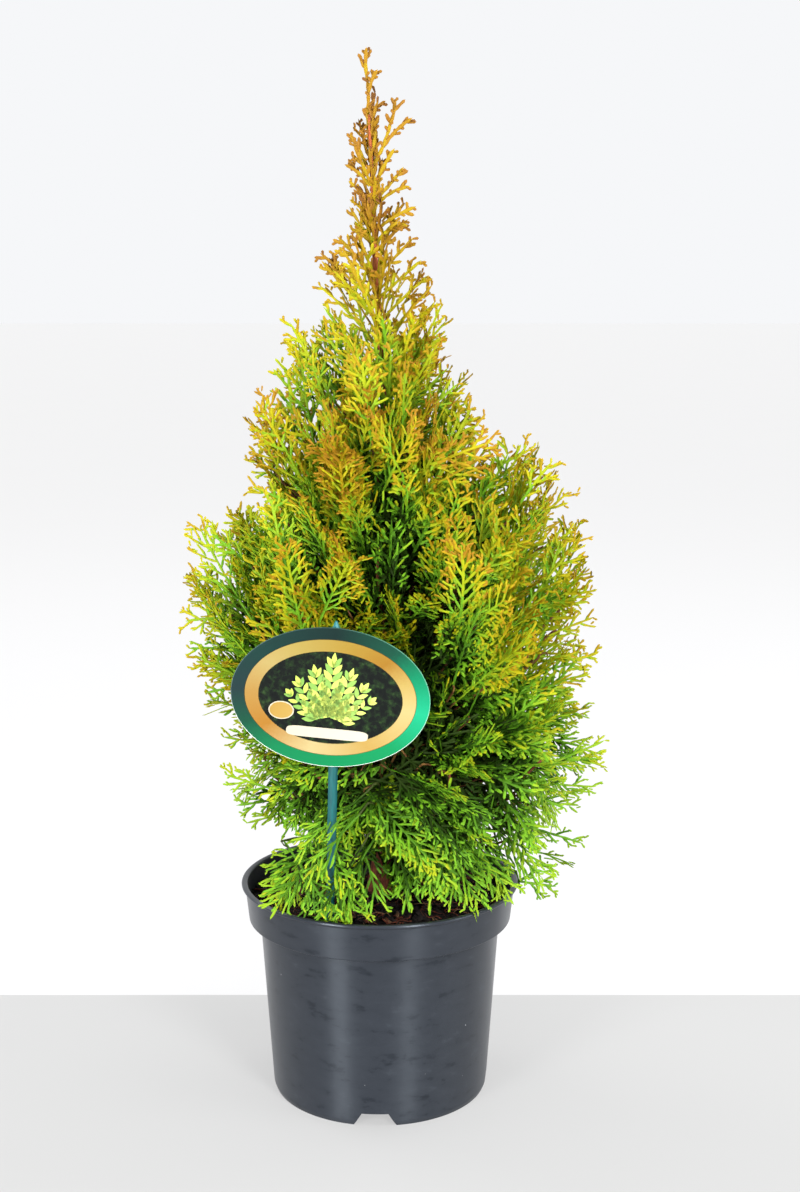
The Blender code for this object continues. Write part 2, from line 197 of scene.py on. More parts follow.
def tube(points, radii, sides, rough=0.0, seed=0.0, cap=True):
    """Vertices, quads and end triangles of a tapering tube with a ridged skin."""
    p = np.asarray(points, float)
    t, s, u = path_frames(p)
    angle = np.linspace(0, 2 * np.pi, sides, endpoint=False)
    along = np.concatenate([[0], np.cumsum(np.linalg.norm(np.diff(p, axis=0), axis=1))])
    r = np.repeat(np.asarray(radii, float)[:, None], sides, 1)
    if rough:
        for i in range(len(p)):
            for j in range(sides):
                q = Vector((math.cos(angle[j]) * 2.2 + seed, math.sin(angle[j]) * 2.2,
                            along[i] * 90.0))
                strips = noise.noise(q) + 0.6 * noise.noise(
                    Vector((q.x * 2.6, q.y * 2.6, q.z * 0.8)))
                r[i, j] *= 1.0 + rough * strips
    v = (p[:, None] + r[..., None] * (np.cos(angle)[None, :, None] * s[:, None]
                                      + np.sin(angle)[None, :, None] * u[:, None]))
    n = len(p)
    v = v.reshape(-1, 3)
    i = np.arange(n - 1)[:, None] * sides
    j = np.arange(sides)[None, :]
    k = (j + 1) % sides
    quads = np.stack([i + j, i + k, i + sides + k, i + sides + j], -1).reshape(-1, 4)
    tris = np.zeros((0, 3), int)
    if cap:
        v = np.vstack([v, p[:1], p[-1:]])
        a, b = n * sides, n * sides + 1
        jj = np.arange(sides)
        kk = (jj + 1) % sides
        tris = np.concatenate([
            np.stack([np.full(sides, a), kk, jj], -1),
            np.stack([np.full(sides, b), (n - 1) * sides + jj, (n - 1) * sides + kk], -1)])
    return v, quads, tris


class Pile:
    """Collects vertices and faces of many small shapes into one mesh."""

    def __init__(self):
        self.v, self.q, self.t, self.n = [], [], [], 0

    def add(self, v, quads=None, tris=None):
        self.v.append(v)
        if quads is not None and len(quads):
            self.q.append(quads + self.n)
        if tris is not None and len(tris):
            self.t.append(tris + self.n)
        self.n += len(v)

    def piece(self, name, material, **options):
        faces = []
        if self.q:
            faces.append(np.concatenate(self.q))
        if self.t:
            faces.append(np.concatenate(self.t))
        return make_mesh(name, np.concatenate(self.v), faces, material, **options)


def spline(points, count):
    """Points evenly read from a Catmull-Rom curve."""
    pts = np.asarray(points, float)
    pts = np.vstack([2 * pts[0] - pts[1], pts, 2 * pts[-1] - pts[-2]])
    spans = len(pts) - 3
    u = np.linspace(0, spans, count)
    i = np.minimum(u.astype(int), spans - 1)
    f = (u - i)[:, None]
    p0, p1, p2, p3 = pts[i], pts[i + 1], pts[i + 2], pts[i + 3]
    return 0.5 * (2 * p1 + (p2 - p0) * f + (2 * p0 - 5 * p1 + 4 * p2 - p3) * f ** 2
                  + (3 * p1 - p0 - 3 * p2 + p3) * f ** 3)


# ------------------------------------------------------- the room for leaves
MASS_NAMES = sorted(n for n in NODES if n.startswith("foliage_"))
MASS_VERTS, MASS_TREES, MASS_MID, MASS_TOP = {}, {}, {}, {}
for name in MASS_NAMES:
    mesh = NODES[name].data
    co = np.array([v.co for v in mesh.vertices], float)
    tris = []
    for poly in mesh.polygons:
        idx = list(poly.vertices)
        tris += [(idx[0], idx[k], idx[k + 1]) for k in range(1, len(idx) - 1)]
    MASS_VERTS[name] = (co, np.array(tris))
    MASS_TREES[name] = BVHTree.FromPolygons([Vector(c) for c in co], tris)
    MASS_MID[name] = (co.min(0) + co.max(0)) / 2
    MASS_TOP[name] = co[co[:, 2].argmax()]

all_v, all_t, base = [], [], 0
for name in MASS_NAMES:
    v, t = MASS_VERTS[name]
    all_v.append(v)
    all_t.append(t + base)
    base += len(v)
ALL_V, ALL_T = np.concatenate(all_v), np.concatenate(all_t)
CROWN = BVHTree.FromPolygons([Vector(c) for c in ALL_V], [tuple(t) for t in ALL_T])

# the stem's line, as in the solids
STEM = np.array([
    (0.00, 0.00, 11.98), (0.00, 0.00, 12.5), (0.05, -0.02, 13.4),
    (0.10, -0.05, 15.5), (0.18, -0.06, 19.0), (0.28, -0.02, 24.0),
    (0.34, 0.06, 29.0), (0.36, 0.10, 34.0), (0.40, 0.06, 38.0),
    (0.24, 0.00, 43.0), (-0.12, -0.02, 48.0), (-0.30, 0.00, 52.5),
    (-0.50, 0.00, 57.0), (-0.64, 0.00, 60.65)]) * CM
STEM_R = np.array([9.6, 7.4, 6.2, 5.6, 5.1, 4.5, 3.9, 3.3, 2.8, 2.2, 1.6, 1.25, 0.9, 0.55]) / 1000


def stem_at(z):
    return np.array([np.interp(z, STEM[:, 2], STEM[:, k]) for k in range(3)])


def stem_r(z):
    return float(np.interp(z, STEM[:, 2], STEM_R))


# boughs run on from the solids' boughs to the middle of their masses
BOUGH_OF = {
    "foliage_low_front": "bough_low_front", "foliage_low_left": "bough_low_left",
    "foliage_low_right": "bough_low_right",
    "foliage_low_back_left": "bough_low_back_left",
    "foliage_low_back_right": "bough_low_back_right",
    "foliage_low_front_left": "bough_low_front_left",
    "foliage_low_front_right": "bough_low_front_right",
    "foliage_mid_right_plume": "bough_mid_right_plume",
    "foliage_mid_left": "bough_mid_left", "foliage_mid_front": "bough_mid_front",
    "foliage_mid_back_right": "bough_mid_back_right",
    "foliage_mid_back_left": "bough_mid_back_left",
}
LIMBS = {}
for name in MASS_NAMES:
    if name.startswith("foliage_leader"):
        continue
    co = MASS_VERTS[name][0]
    mid, top = MASS_MID[name], MASS_TOP[name]
    half = (co[:, 2].max() - co[:, 2].min()) / 2
    if name in BOUGH_OF:
        b = np.array([v.co for v in NODES[BOUGH_OF[name]].data.vertices], float)
        d = np.hypot(b[:, 0] - stem_at(mid[2])[0], b[:, 1] - stem_at(mid[2])[1])
        tip = b[np.argsort(-d)[:6]].mean(0)
        foot = b[np.argsort(d)[:6]].mean(0)
        knots = [stem_at(foot[2] - 0.003), foot, tip, mid * 0.75 + tip * 0.25,
                 mid * 0.8 + top * 0.2]
    else:
        root = stem_at(mid[2] - half * 0.95)
        knots = [root, root * 0.6 + mid * 0.4 + (0, 0, -half * 0.3), mid * 0.7 + root * 0.3,
                 mid + (0, 0, half * 0.25)]
    LIMBS[name] = spline(knots, 26)

# the flat board of the label, kept clear of leaves
BOARD_C = np.array([-0.0257, -0.0803, 0.2583])
STICK_FOOT = np.array([-0.0290, -0.0588, 0.0850])
STICK_HEAD = np.array([-0.0225, -0.0800, 0.2928])
STICK_DIR = (STICK_HEAD - STICK_FOOT) / np.linalg.norm(STICK_HEAD - STICK_FOOT)


def board_depth(p):
    """How far in front of the label's plane points lie (positive is in front)."""
    n = np.array([0.0, -math.cos(math.atan2(-STICK_DIR[1], STICK_DIR[2])),
                  -math.sin(math.atan2(-STICK_DIR[1], STICK_DIR[2]))])
    return (p - BOARD_C) @ n


# -------------------------------------------------------------- one frond
SHANK = 0.34            # leafy stalk below a frond, as a share of its length


# for each kind of frond: spacing of its fingers, their angle at the foot and how
# much less at the tip, extra length, where side fingers start, their spacing,
# most length and angle, share of a finger that is toothed, chance of a tooth
KINDS = {
    "full": (0.0034, 43, 9, 0.0052, 0.32, 0.0040, 0.0085, 33, 0.66, 0.85),
    "inner": (0.0046, 44, 8, 0.0046, 0.30, 0.0050, 0.0080, 34, 1.00, 0.00),
    "sparse": (0.0060, 38, 2, 0.0040, 0.30, 0.0050, 0.0088, 34, 0.60, 0.95),
    "airy": (0.0047, 40, 7, 0.0054, 0.32, 0.0054, 0.0094, 30, 0.68, 0.80),
    "long": (0.0040, 34, 6, 0.0064, 0.40, 0.0064, 0.0100, 24, 0.84, 0.42),
}


def frond_plan(length, width, kind, seed):
    """Axes of one flat frond in its own plane (along, across).  Rows of start
    u, v, heading, length, bend, width, order and how far out it lies (0..1)."""
    r = np.random.default_rng(seed)
    step, open_, close_, extra, first2, gap, most2, open2, toothed, chance = KINDS[kind]
    rows = []

    def buds(u, v, heading, bend, size, out, from_share, likely):
        """Blunt side buds that make a finger's outline toothed and forked."""
        side = 1 if r.random() < 0.5 else -1
        s = size * from_share * r.uniform(0.85, 1.1)
        while s < size - 0.0006:
            turn = heading + bend * s / size
            mid = heading + bend * s / size * 0.5
            if r.random() < likely:
                rows.append((u + s * math.cos(mid), v + s * math.sin(mid),
                             turn + side * math.radians(r.normal(40, 6)),
                             r.uniform(0.0021, 0.0036), 0.0, 0.94, 3, out))
            s += r.uniform(0.0021, 0.0032)
            side = -side

    shank = SHANK * length
    rows.append((-shank, 0.0, 0.0, length + shank, r.normal(0, 0.12), 1.0, 0, 0.45))
    lean = rows[0][4] / (length + shank)
    s = length * r.uniform(0.06, 0.14)
    side = 1 if r.random() < 0.5 else -1
    while s < length - 0.0030:
        x = s / length
        f = min(1.0, 0.40 + 2.4 * x) * (1 - x) ** 0.5
        l1 = width * f * r.uniform(0.70, 1.20) + extra
        ang = side * math.radians(r.normal(open_ - close_ * x, 4.5))
        bend = -side * r.uniform(0.02, 0.34)
        # where the main axis lies at this point
        us = -shank + (s + shank) * math.cos(lean * (s + shank) * 0.5)
        vs = (s + shank) * math.sin(lean * (s + shank) * 0.5)
        ang += lean * (s + shank)
        rows.append((us, vs, ang, l1, bend, 0.97, 1, 0.25 + 0.75 * x))
        if l1 > 0.0100:
            s2 = l1 * first2 * r.uniform(0.85, 1.2)
            side2 = side if r.random() < 0.6 else -side
            while s2 < l1 - 0.0030:
                y = s2 / l1
                l2 = min(most2, 0.0034 + 0.48 * (l1 - s2)) * r.uniform(0.75, 1.15)
                turn = ang + bend * y
                u2 = us + s2 * math.cos(ang + bend * y * 0.5)
                v2 = vs + s2 * math.sin(ang + bend * y * 0.5)
                ang2 = turn + side2 * math.radians(r.normal(open2, 5))
                out = min(1.0, 0.35 * x + 0.65 * y + 0.15)
                bend2 = -side2 * r.uniform(0.05, 0.35)
                rows.append((u2, v2, ang2, l2, bend2, 0.95, 2, out))
                if l2 > 0.0046:
                    buds(u2, v2, ang2, bend2, l2, min(1.0, out + 0.1), toothed, chance * 0.6)
                s2 += gap * r.uniform(0.8, 1.25)
                side2 = -side2
            buds(us, vs, ang, bend, l1, min(1.0, 0.65 + 0.4 * x), 0.80, chance)
        else:
            buds(us, vs, ang, bend, l1, min(1.0, 0.45 + 0.55 * x), toothed, chance)
        s += step * r.uniform(0.75, 1.25)
        side = -side
    if chance:
        buds(-shank, 0.0, 0.0, rows[0][4], length + shank, 1.0, 0.93, 1.0)
    return np.array(rows)


PLANS = {}


def plan_for(length, width, kind, variant):
    a, b = round(length * 400), round(width * 400)
    key = (a, b, kind, variant % 6)
    if key not in PLANS:
        seed = a * 977 + b * 131 + variant % 6 * 17 + len(kind)
        PLANS[key] = frond_plan(a / 400.0, b / 400.0, kind, seed)
    return PLANS[key]


def unit(v):
    v = np.asarray(v, float)
    return v / (np.linalg.norm(v) + 1e-12)


PIECES = {k: [] for k in "uvalcwoxf"}
FRONDS = []          # base, along, across, normal, bends, tone, finger tilt


def add_frond(base, along, normal, length, width, tone, bend, cup, twist, kind, variant,
              thick=1.0):
    along = unit(along)
    normal = unit(normal - along * (normal @ along))
    across = np.cross(normal, along)
    plan = plan_for(length, width, kind, variant)
    FRONDS.append((base, along, across, normal, bend, cup, twist, tone, thick))
    for key, col in zip("uvalcwox", range(8)):
        PIECES[key].append(plan[:, col])
    PIECES["f"].append(np.full(len(plan), len(FRONDS) - 1))


# ------------------------------------------------- how far the crown reaches
ENV_Z = np.arange(0.130, 0.6165, 0.005)
ENV_A = 72
ENV = np.zeros((len(ENV_Z), ENV_A))
for i, z in enumerate(ENV_Z):
    c = stem_at(z)
    for j in range(ENV_A):
        a = 2 * math.pi * j / ENV_A
        d = Vector((math.cos(a), math.sin(a), 0))
        hit = CROWN.ray_cast(Vector((c[0], c[1], z)) + d * 0.25, -d, 0.25)
        ENV[i, j] = 0.25 - hit[3] if hit[0] is not None else 0.0
soft = np.zeros_like(ENV)
weight = 0.0
for dz in range(-3, 4):
    for da in range(-3, 4):
        w = math.exp(-(dz / 2.2) ** 2 - (da / 2.0) ** 2)
        rolled = np.roll(ENV, da, 1)
        rows = np.clip(np.arange(len(ENV_Z)) + dz, 0, len(ENV_Z) - 1)
        soft += w * rolled[rows] ** 5
        weight += w
SOFT = np.minimum((soft / weight) ** 0.2, ENV + 0.005)


def reach_at(z, azimuth):
    """Radius of the crown's outside about the stem, from the solids."""
    i = np.clip((z - ENV_Z[0]) / 0.005, 0, len(ENV_Z) - 1.001)
    j = (azimuth / (2 * math.pi) * ENV_A) % ENV_A
    i0, j0 = int(i), int(j)
    fi, fj = i - i0, j - j0
    j1 = (j0 + 1) % ENV_A
    low = SOFT[i0, j0 % ENV_A] * (1 - fj) + SOFT[i0, j1] * fj
    high = SOFT[i0 + 1, j0 % ENV_A] * (1 - fj) + SOFT[i0 + 1, j1] * fj
    return low * (1 - fi) + high * fi


def rise_of(z):
    """Angle above level at which fronds grow at a height, in degrees."""
    return float(np.interp(z / CM, [12, 14, 17, 20, 23, 27, 32, 38, 45, 52, 58, 62],
                           [-56, -48, -34, -10, 16, 34, 46, 54, 58, 60, 66, 80]))


# sprays already browned by cold: x, z, half sizes (cm), tints riper
BRONZED = [(-3.0, 38.8, 2.8, 3.8, 0.8), (-3.4, 34.2, 1.8, 1.8, 0.7), (7.4, 37.4, 2.2, 1.3, 0.6)]


def tone_at(p, r):
    """Tint of a frond's middle (0 shade green .. 12 umber) from where it grows, with painted light and shade:
    lighter on the flanks, the lower left and the right, darker right of the middle.
    """
    z = p[2] / CM
    t = float(np.interp(z, [12, 16, 20, 25, 30, 35, 40, 45, 50, 55, 61],
                        [2.6, 2.7, 3.1, 3.8, 4.5, 4.9, 5.1, 5.8, 8.1, 9.2, 9.7]))
    patch = noise.noise(Vector(p) * 16.0 + Vector((3.1, 0.7, 1.9)))
    t += patch * float(np.interp(z, [15, 28, 45], [0.8, 1.1, 1.1]))
    # besides hue, most offsets by side below are painted light and shade: lighter flanks, lower left and right,
    # darker right of the middle
    side = abs(p[0]) / max(0.02, math.hypot(p[0], p[1]))
    t += float(np.interp(z, [20, 28, 34], [0.5, 0.2, 0.0])) * side ** 3
    t += float(np.interp(p[0], [-0.07, -0.03], [1.0, 0.0])
               * np.interp(z, [20, 24, 30, 35], [1.1, 0.4, 0.2, 0.0]))
    t += float(np.interp(p[0], [0.02, 0.06], [0.0, 1.0])
               * np.interp(z, [29, 33, 43, 47], [0.0, 0.3, 0.6, 0.0]))
    t += float(np.interp(p[0], [0.06, 0.09], [0.0, 1.0])
               * np.interp(z, [17, 22, 30, 34], [0.0, 0.3, 0.4, 0.0]))
    t -= float(np.interp(p[0], [0.0, 0.02, 0.07, 0.09], [0.0, 0.7, 0.7, 0.1])
               * np.interp(z, [17, 20, 30, 33], [0.0, 1.0, 1.0, 0.0]))
    t += float(np.interp(abs(p[0]), [0.05, 0.085], [0.0, 0.6])
               * np.interp(z, [13, 15, 36, 40], [0.0, 1.0, 1.0, 0.0]))
    t -= float(np.interp(p[0], [-0.02, 0.0], [0.35, 0.0])
               * np.interp(z, [38, 41, 45, 48], [0.0, 1.0, 1.0, 0.0]))
    t -= float(np.interp(p[0], [-0.08, -0.05], [0.6, 0.0])
               * np.interp(z, [25, 28, 34, 37], [0.0, 1.0, 1.0, 0.0]))
    t += float(np.interp(p[0], [-0.10, -0.085, -0.03, -0.01], [0.0, 0.5, 0.5, 0.0])
               * np.interp(z, [28, 31, 35, 42, 46], [0.0, 0.0, 0.5, 1.0, 0.0]))
    t -= float(np.interp(p[0], [-0.04, -0.01], [0.5, 0.0])
               * np.interp(z, [30, 35, 46, 50], [0.0, 1.0, 1.0, 0.0]))
    for x0, z0, rx, rz, more in BRONZED:
        t += more * math.exp(-((p[0] / CM - x0) / rx) ** 2 - ((z - z0) / rz) ** 2)
    return t + r.normal(0, 0.45)


# places that the photograph shows dark and open: x, z, half sizes (cm)
HOLLOWS = [
    (0.6, 38.6, 1.2, 2.6), (0.9, 34.4, 2.3, 3.2), (-1.8, 31.0, 1.2, 1.2),
    (4.6, 28.4, 1.9, 1.6), (3.4, 19.2, 1.2, 2.2), (6.2, 24.4, 1.2, 1.2),
    (-4.6, 33.2, 1.3, 1.2), (0.2, 43.8, 0.8, 1.0),
]


def hollow(p):
    if p[1] > -0.005:
        return False
    for x, z, rx, rz in HOLLOWS:
        if ((p[0] / CM - x) / rx) ** 2 + ((p[2] / CM - z) / rz) ** 2 < 1:
            return True
    return False


TWIGS, YOUNG = Pile(), Pile()
TWIG_TIPS = []


def turn_about(v, axis, degrees):
    axis = unit(axis)
    a = math.radians(degrees)
    return (v * math.cos(a) + np.cross(axis, v) * math.sin(a)
            + axis * (axis @ v) * (1 - math.cos(a)))


def stem_twig(base, along, length, thick, r, arched=False):
    """A twig from the stem up to the foot of a frond; an arched one comes down on it."""
    base = base - unit(along) * SHANK * length
    d = math.hypot(base[0] - stem_at(base[2])[0], base[1] - stem_at(base[2])[1])
    slope = np.interp(base[2] / CM, [12, 16, 22, 30, 40, 60], [0.10, 0.25, 0.55, 0.85, 1.0, 1.2])
    z0 = max(0.128, min(0.600, base[2] - d * slope * r.uniform(0.85, 1.15)))
    root = stem_at(z0)
    if np.linalg.norm(base - root) < 0.004:
        return
    out = unit([base[0] - root[0], base[1] - root[1], 0.0])
    lean = root + (base - root) * 0.5 + np.array([0, 0, -0.06 * d]) \
        + np.cross(out, [0, 0, 1]) * r.normal(0, 0.06) * d
    if arched:
        back = 0.22 if base[1] > -0.055 else 0.09
        lean = base - unit(along) * back * d + np.array([0, 0, 0.01 * d])
        root = stem_at(max(0.13, lean[2] - 0.34 * d))
        if base[0] < -0.040 and base[1] < -0.048:
            root = stem_at(max(0.13, base[2] - 0.22 * d))
            lean = (root + base) * 0.5 + np.array([0, 0, 0.04 * d])
    pts = spline([root, lean, base, base + unit(along) * 0.006], 8)
    (YOUNG if arched else TWIGS).add(*tube(pts, np.linspace(thick * 1.3, thick * 0.7, 8), 4,
                                           cap=False))


# ---------------------------------------------------------- the crown's body
def body_of_crown():
    r = np.random.default_rng(2024)
    cell, spots = {}, []
    spacing = 0.0143
    area = 0.0
    tries = 26000
    for _ in range(tries):
        z = r.uniform(0.134, 0.462)
        a = r.uniform(-math.pi, math.pi)
        big = reach_at(z, a)
        if r.random() > big / 0.145:
            continue
        c = stem_at(z)
        p = np.array([c[0] + big * math.cos(a), c[1] + big * math.sin(a), z])
        sides = math.cos(a) ** 2 * np.interp(z, [0.16, 0.21, 0.26, 0.34], [0.32, 0.20, 0.02, 0.02])
        gap = spacing * (1 + sides) * np.interp(z, [0.13, 0.17, 0.24, 0.32, 0.40, 0.43, 0.46],
                                      [0.96, 0.98, 0.95, 0.90, 0.88, 0.93, 1.10])
        key = tuple(np.floor(p / 0.016).astype(int))
        near = any(np.linalg.norm(other - p) < gap
                   for dx in (-1, 0, 1) for dy in (-1, 0, 1) for dz in (-1, 0, 1)
                   for other in cell.get((key[0] + dx, key[1] + dy, key[2] + dz), ()))
        if near:
            continue
        cell.setdefault(key, []).append(p)
        spots.append((p, a, big))
    count = 0
    for layer in (0, 1, 2):
        for p, a, big in spots:
            open_here = hollow(p)
            if layer and r.random() > (0.95 if open_here else 0.50 if layer == 1 else 0.26):
                continue
            z = p[2]
            if layer == 0 and open_here:
                continue
            if z < 0.165 and math.cos(a) < -0.1 and math.sin(a) < 0.5 and r.random() < 0.7:
                continue
            c = stem_at(z)
            lone = r.random() < (0.24 if abs(math.cos(a)) < 0.75 else 0.10)
            pull = (r.uniform(-0.006, 0.001) if lone else r.uniform(0.004, 0.019),
                    r.uniform(0.024, 0.042), r.uniform(0.048, 0.072))[layer]
            west, east = max(0.0, -math.cos(a)), max(0.0, math.cos(a))
            clump = noise.noise(Vector(p) * 30.0 + Vector((7.7, 1.2, 4.4)))
            if layer and open_here:
                pull -= 0.006 if layer == 1 else 0.012
            if layer == 0:
                pull -= clump * float(np.interp(z, [0.14, 0.22, 0.36, 0.46],
                                                [0.005, 0.009, 0.009, 0.006]))
                pull += west * float(np.interp(z, [0.14, 0.17, 0.22, 0.27, 0.31, 0.36, 0.40],
                                               [0.010, 0.009, 0.013, 0.006, 0.006, 0.004, 0.002]))
                pull += east * float(np.interp(z, [0.14, 0.17, 0.196, 0.22, 0.245, 0.27, 0.29, 0.31, 0.34],
                                               [-0.002, 0.002, 0.000, 0.013, 0.016, 0.007, -0.004, -0.007, 0.001]))
                pull += east * float(np.interp(z, [0.355, 0.385, 0.45, 0.47],
                                               [0.0, 0.003, 0.002, 0.0]))
                pull -= float(np.interp(z, [0.34, 0.40], [0.0, 0.005]))
                if clump < -0.38 and r.random() < 0.5:
                    continue
            if layer and (z > 0.41 or (z > 0.36 and p[0] > 0.03)):
                continue
            if z > 0.33 and p[0] < -0.02 and r.random() < (0.07 if layer == 0 else 0.45):
                # the upper left side is thin, and the sky shows through it
                continue
            if big - pull < (0.012, 0.012, 0.022)[layer]:
                continue
            radial = np.array([math.cos(a), math.sin(a), 0.0])
            tip = c * [1, 1, 0] + [0, 0, z] + radial * (big - pull) \
                + np.array([0, 0, r.normal(0, 0.003)])
            out = turn_about(radial, np.array([0, 0, 1.0]), r.normal(0, 19))
            if tip[0] > 0.060 and tip[2] + 0.17 * tip[1] > 0.390:
                continue
            # where the outside leans over, fronds lie nearer level
            higher = reach_at(min(z + 0.02, 0.60), a)
            roof = np.clip((big - higher) / 0.02, -0.5, 1.6)
            rise = rise_of(z) + 8 * roof + r.normal(0, 9)
            rise = math.radians(max(-75, min(84, rise)))
            along = out * math.cos(rise) + np.array([0, 0, math.sin(rise)])
            inner = layer > 0
            high = z > 0.40
            length = r.uniform(0.041, 0.067) * (0.86 if high else 1.0) * (0.9 if inner else 1.0)
            length = min(length, (big - pull + 0.006) / max(0.3, math.cos(rise)))
            width = length * r.uniform(0.25, 0.37)
            if z < 0.20:
                bend = r.normal(-5.0, 3.0)
            elif z < 0.27:
                bend = r.normal(-2.5, 3.0)
            else:
                bend = r.normal(1.0, 3.0)
            base = tip - along * length - 0.5 * bend * length ** 2 * unit(
                np.cross(np.cross(along, [0, 0, 1.0]), along)) * 0.3
            flat = unit(np.cross(np.cross(along, radial + np.array([0, 0, 0.5])), along))
            edge = unit(np.cross(along, flat))
            frontal = math.sin(a) < -0.5
            a2 = math.radians(r.normal(0, 27)) + (
                math.pi / 2 if r.random() < (0.34 if frontal else 0.70) else 0)
            normal = flat * math.cos(a2) + edge * math.sin(a2)
            if normal[2] < -0.3:
                normal = -normal
            if layer == 0 and z < 0.225 and r.random() < 0.6:
                # low sprays hang with their faces outwards
                away = unit(radial + np.array([0, 0, 0.6]))
                normal = turn_about(away, along, r.normal(0, 22))
            # inner layers get darker, greener tints, partly the real greener inside and partly painted shade;
            # outer sprays that stand out are painted lighter and recessed ones darker
            tone = tone_at(tip, r) + (0.9 * clump, -2.7, -4.2)[layer] * (
                float(np.interp(z, [0.36, 0.41], [1.0, 0.5])) if inner else 1.0)
            # in the hollows inner fronds get dark tints as painted shade; on the lower left and the sides that
            # painted shade is lessened
            if inner and open_here:
                tone = min(tone, r.uniform(2.0, 3.8))
            elif inner and z < 0.24 and west > 0.4:
                tone += 1.7
            elif inner and abs(math.cos(a)) > 0.7:
                tone += 1.1
            add_frond(base, along, normal, length, width, tone, bend, r.normal(0, 4),
                      r.normal(0, 5), "inner" if inner else "airy" if abs(math.cos(a)) > 0.75 else "full",
                      int(r.integers(0, 6)),
                      r.uniform(0.88, 1.15))
            stem_twig(base, along, length, r.uniform(0.0006, 0.0009), r)
            count += 1
    return count, len(spots)


# ---------------------------------------------------------------- the leader
# half widths of the leader about the stem, left and right (cm)
LEADER = np.array([
    (42.0, 6.4, 5.9), (44.2, 5.5, 4.5), (46.5, 4.8, 4.0), (47.6, 3.6, 3.5),
    (49.8, 3.4, 2.6), (51.0, 2.9, 2.3), (52.1, 1.8, 2.4), (54.3, 1.5, 2.3),
    (56.5, 1.4, 2.0), (57.6, 0.8, 2.4), (58.6, 0.5, 1.9), (59.6, 0.5, 0.6),
    (60.8, 0.5, 0.4)])


def leader_reach(z, a):
    left = np.interp(z / CM, LEADER[:, 0], LEADER[:, 1])
    right = np.interp(z / CM, LEADER[:, 0], LEADER[:, 2])
    k = 0.5 + 0.5 * math.cos(a)
    return (left * (1 - k) + right * k) * CM


# sprays of the leader that show against the sky: height of foot (cm), azimuth
# from the right hand side (degrees, 90 is the back), rise (degrees), length (cm)
LEADER_SPRAYS = [
    (49.9, -10, 44, 2.6), (48.6, 6, 46, 3.1), (47.3, -4, 42, 3.4), (46.0, 12, 45, 3.9),
    (50.2, 176, 54, 2.8), (48.3, 188, 52, 3.4), (47.0, 176, 46, 4.5), (46.0, 186, 44, 4.8),
    (44.8, 2, 46, 4.6), (44.4, 182, 50, 5.2), (51.6, -80, 78, 2.8), (53.4, -100, 80, 2.4),
    (46.6, -84, 74, 3.0), (45.2, -98, 72, 3.4), (43.6, -80, 70, 4.0), (55.0, 90, 78, 2.2),
    (52.6, 84, 72, 2.6), (50.4, -60, 66, 2.6), (50.8, -124, 66, 2.6),
]


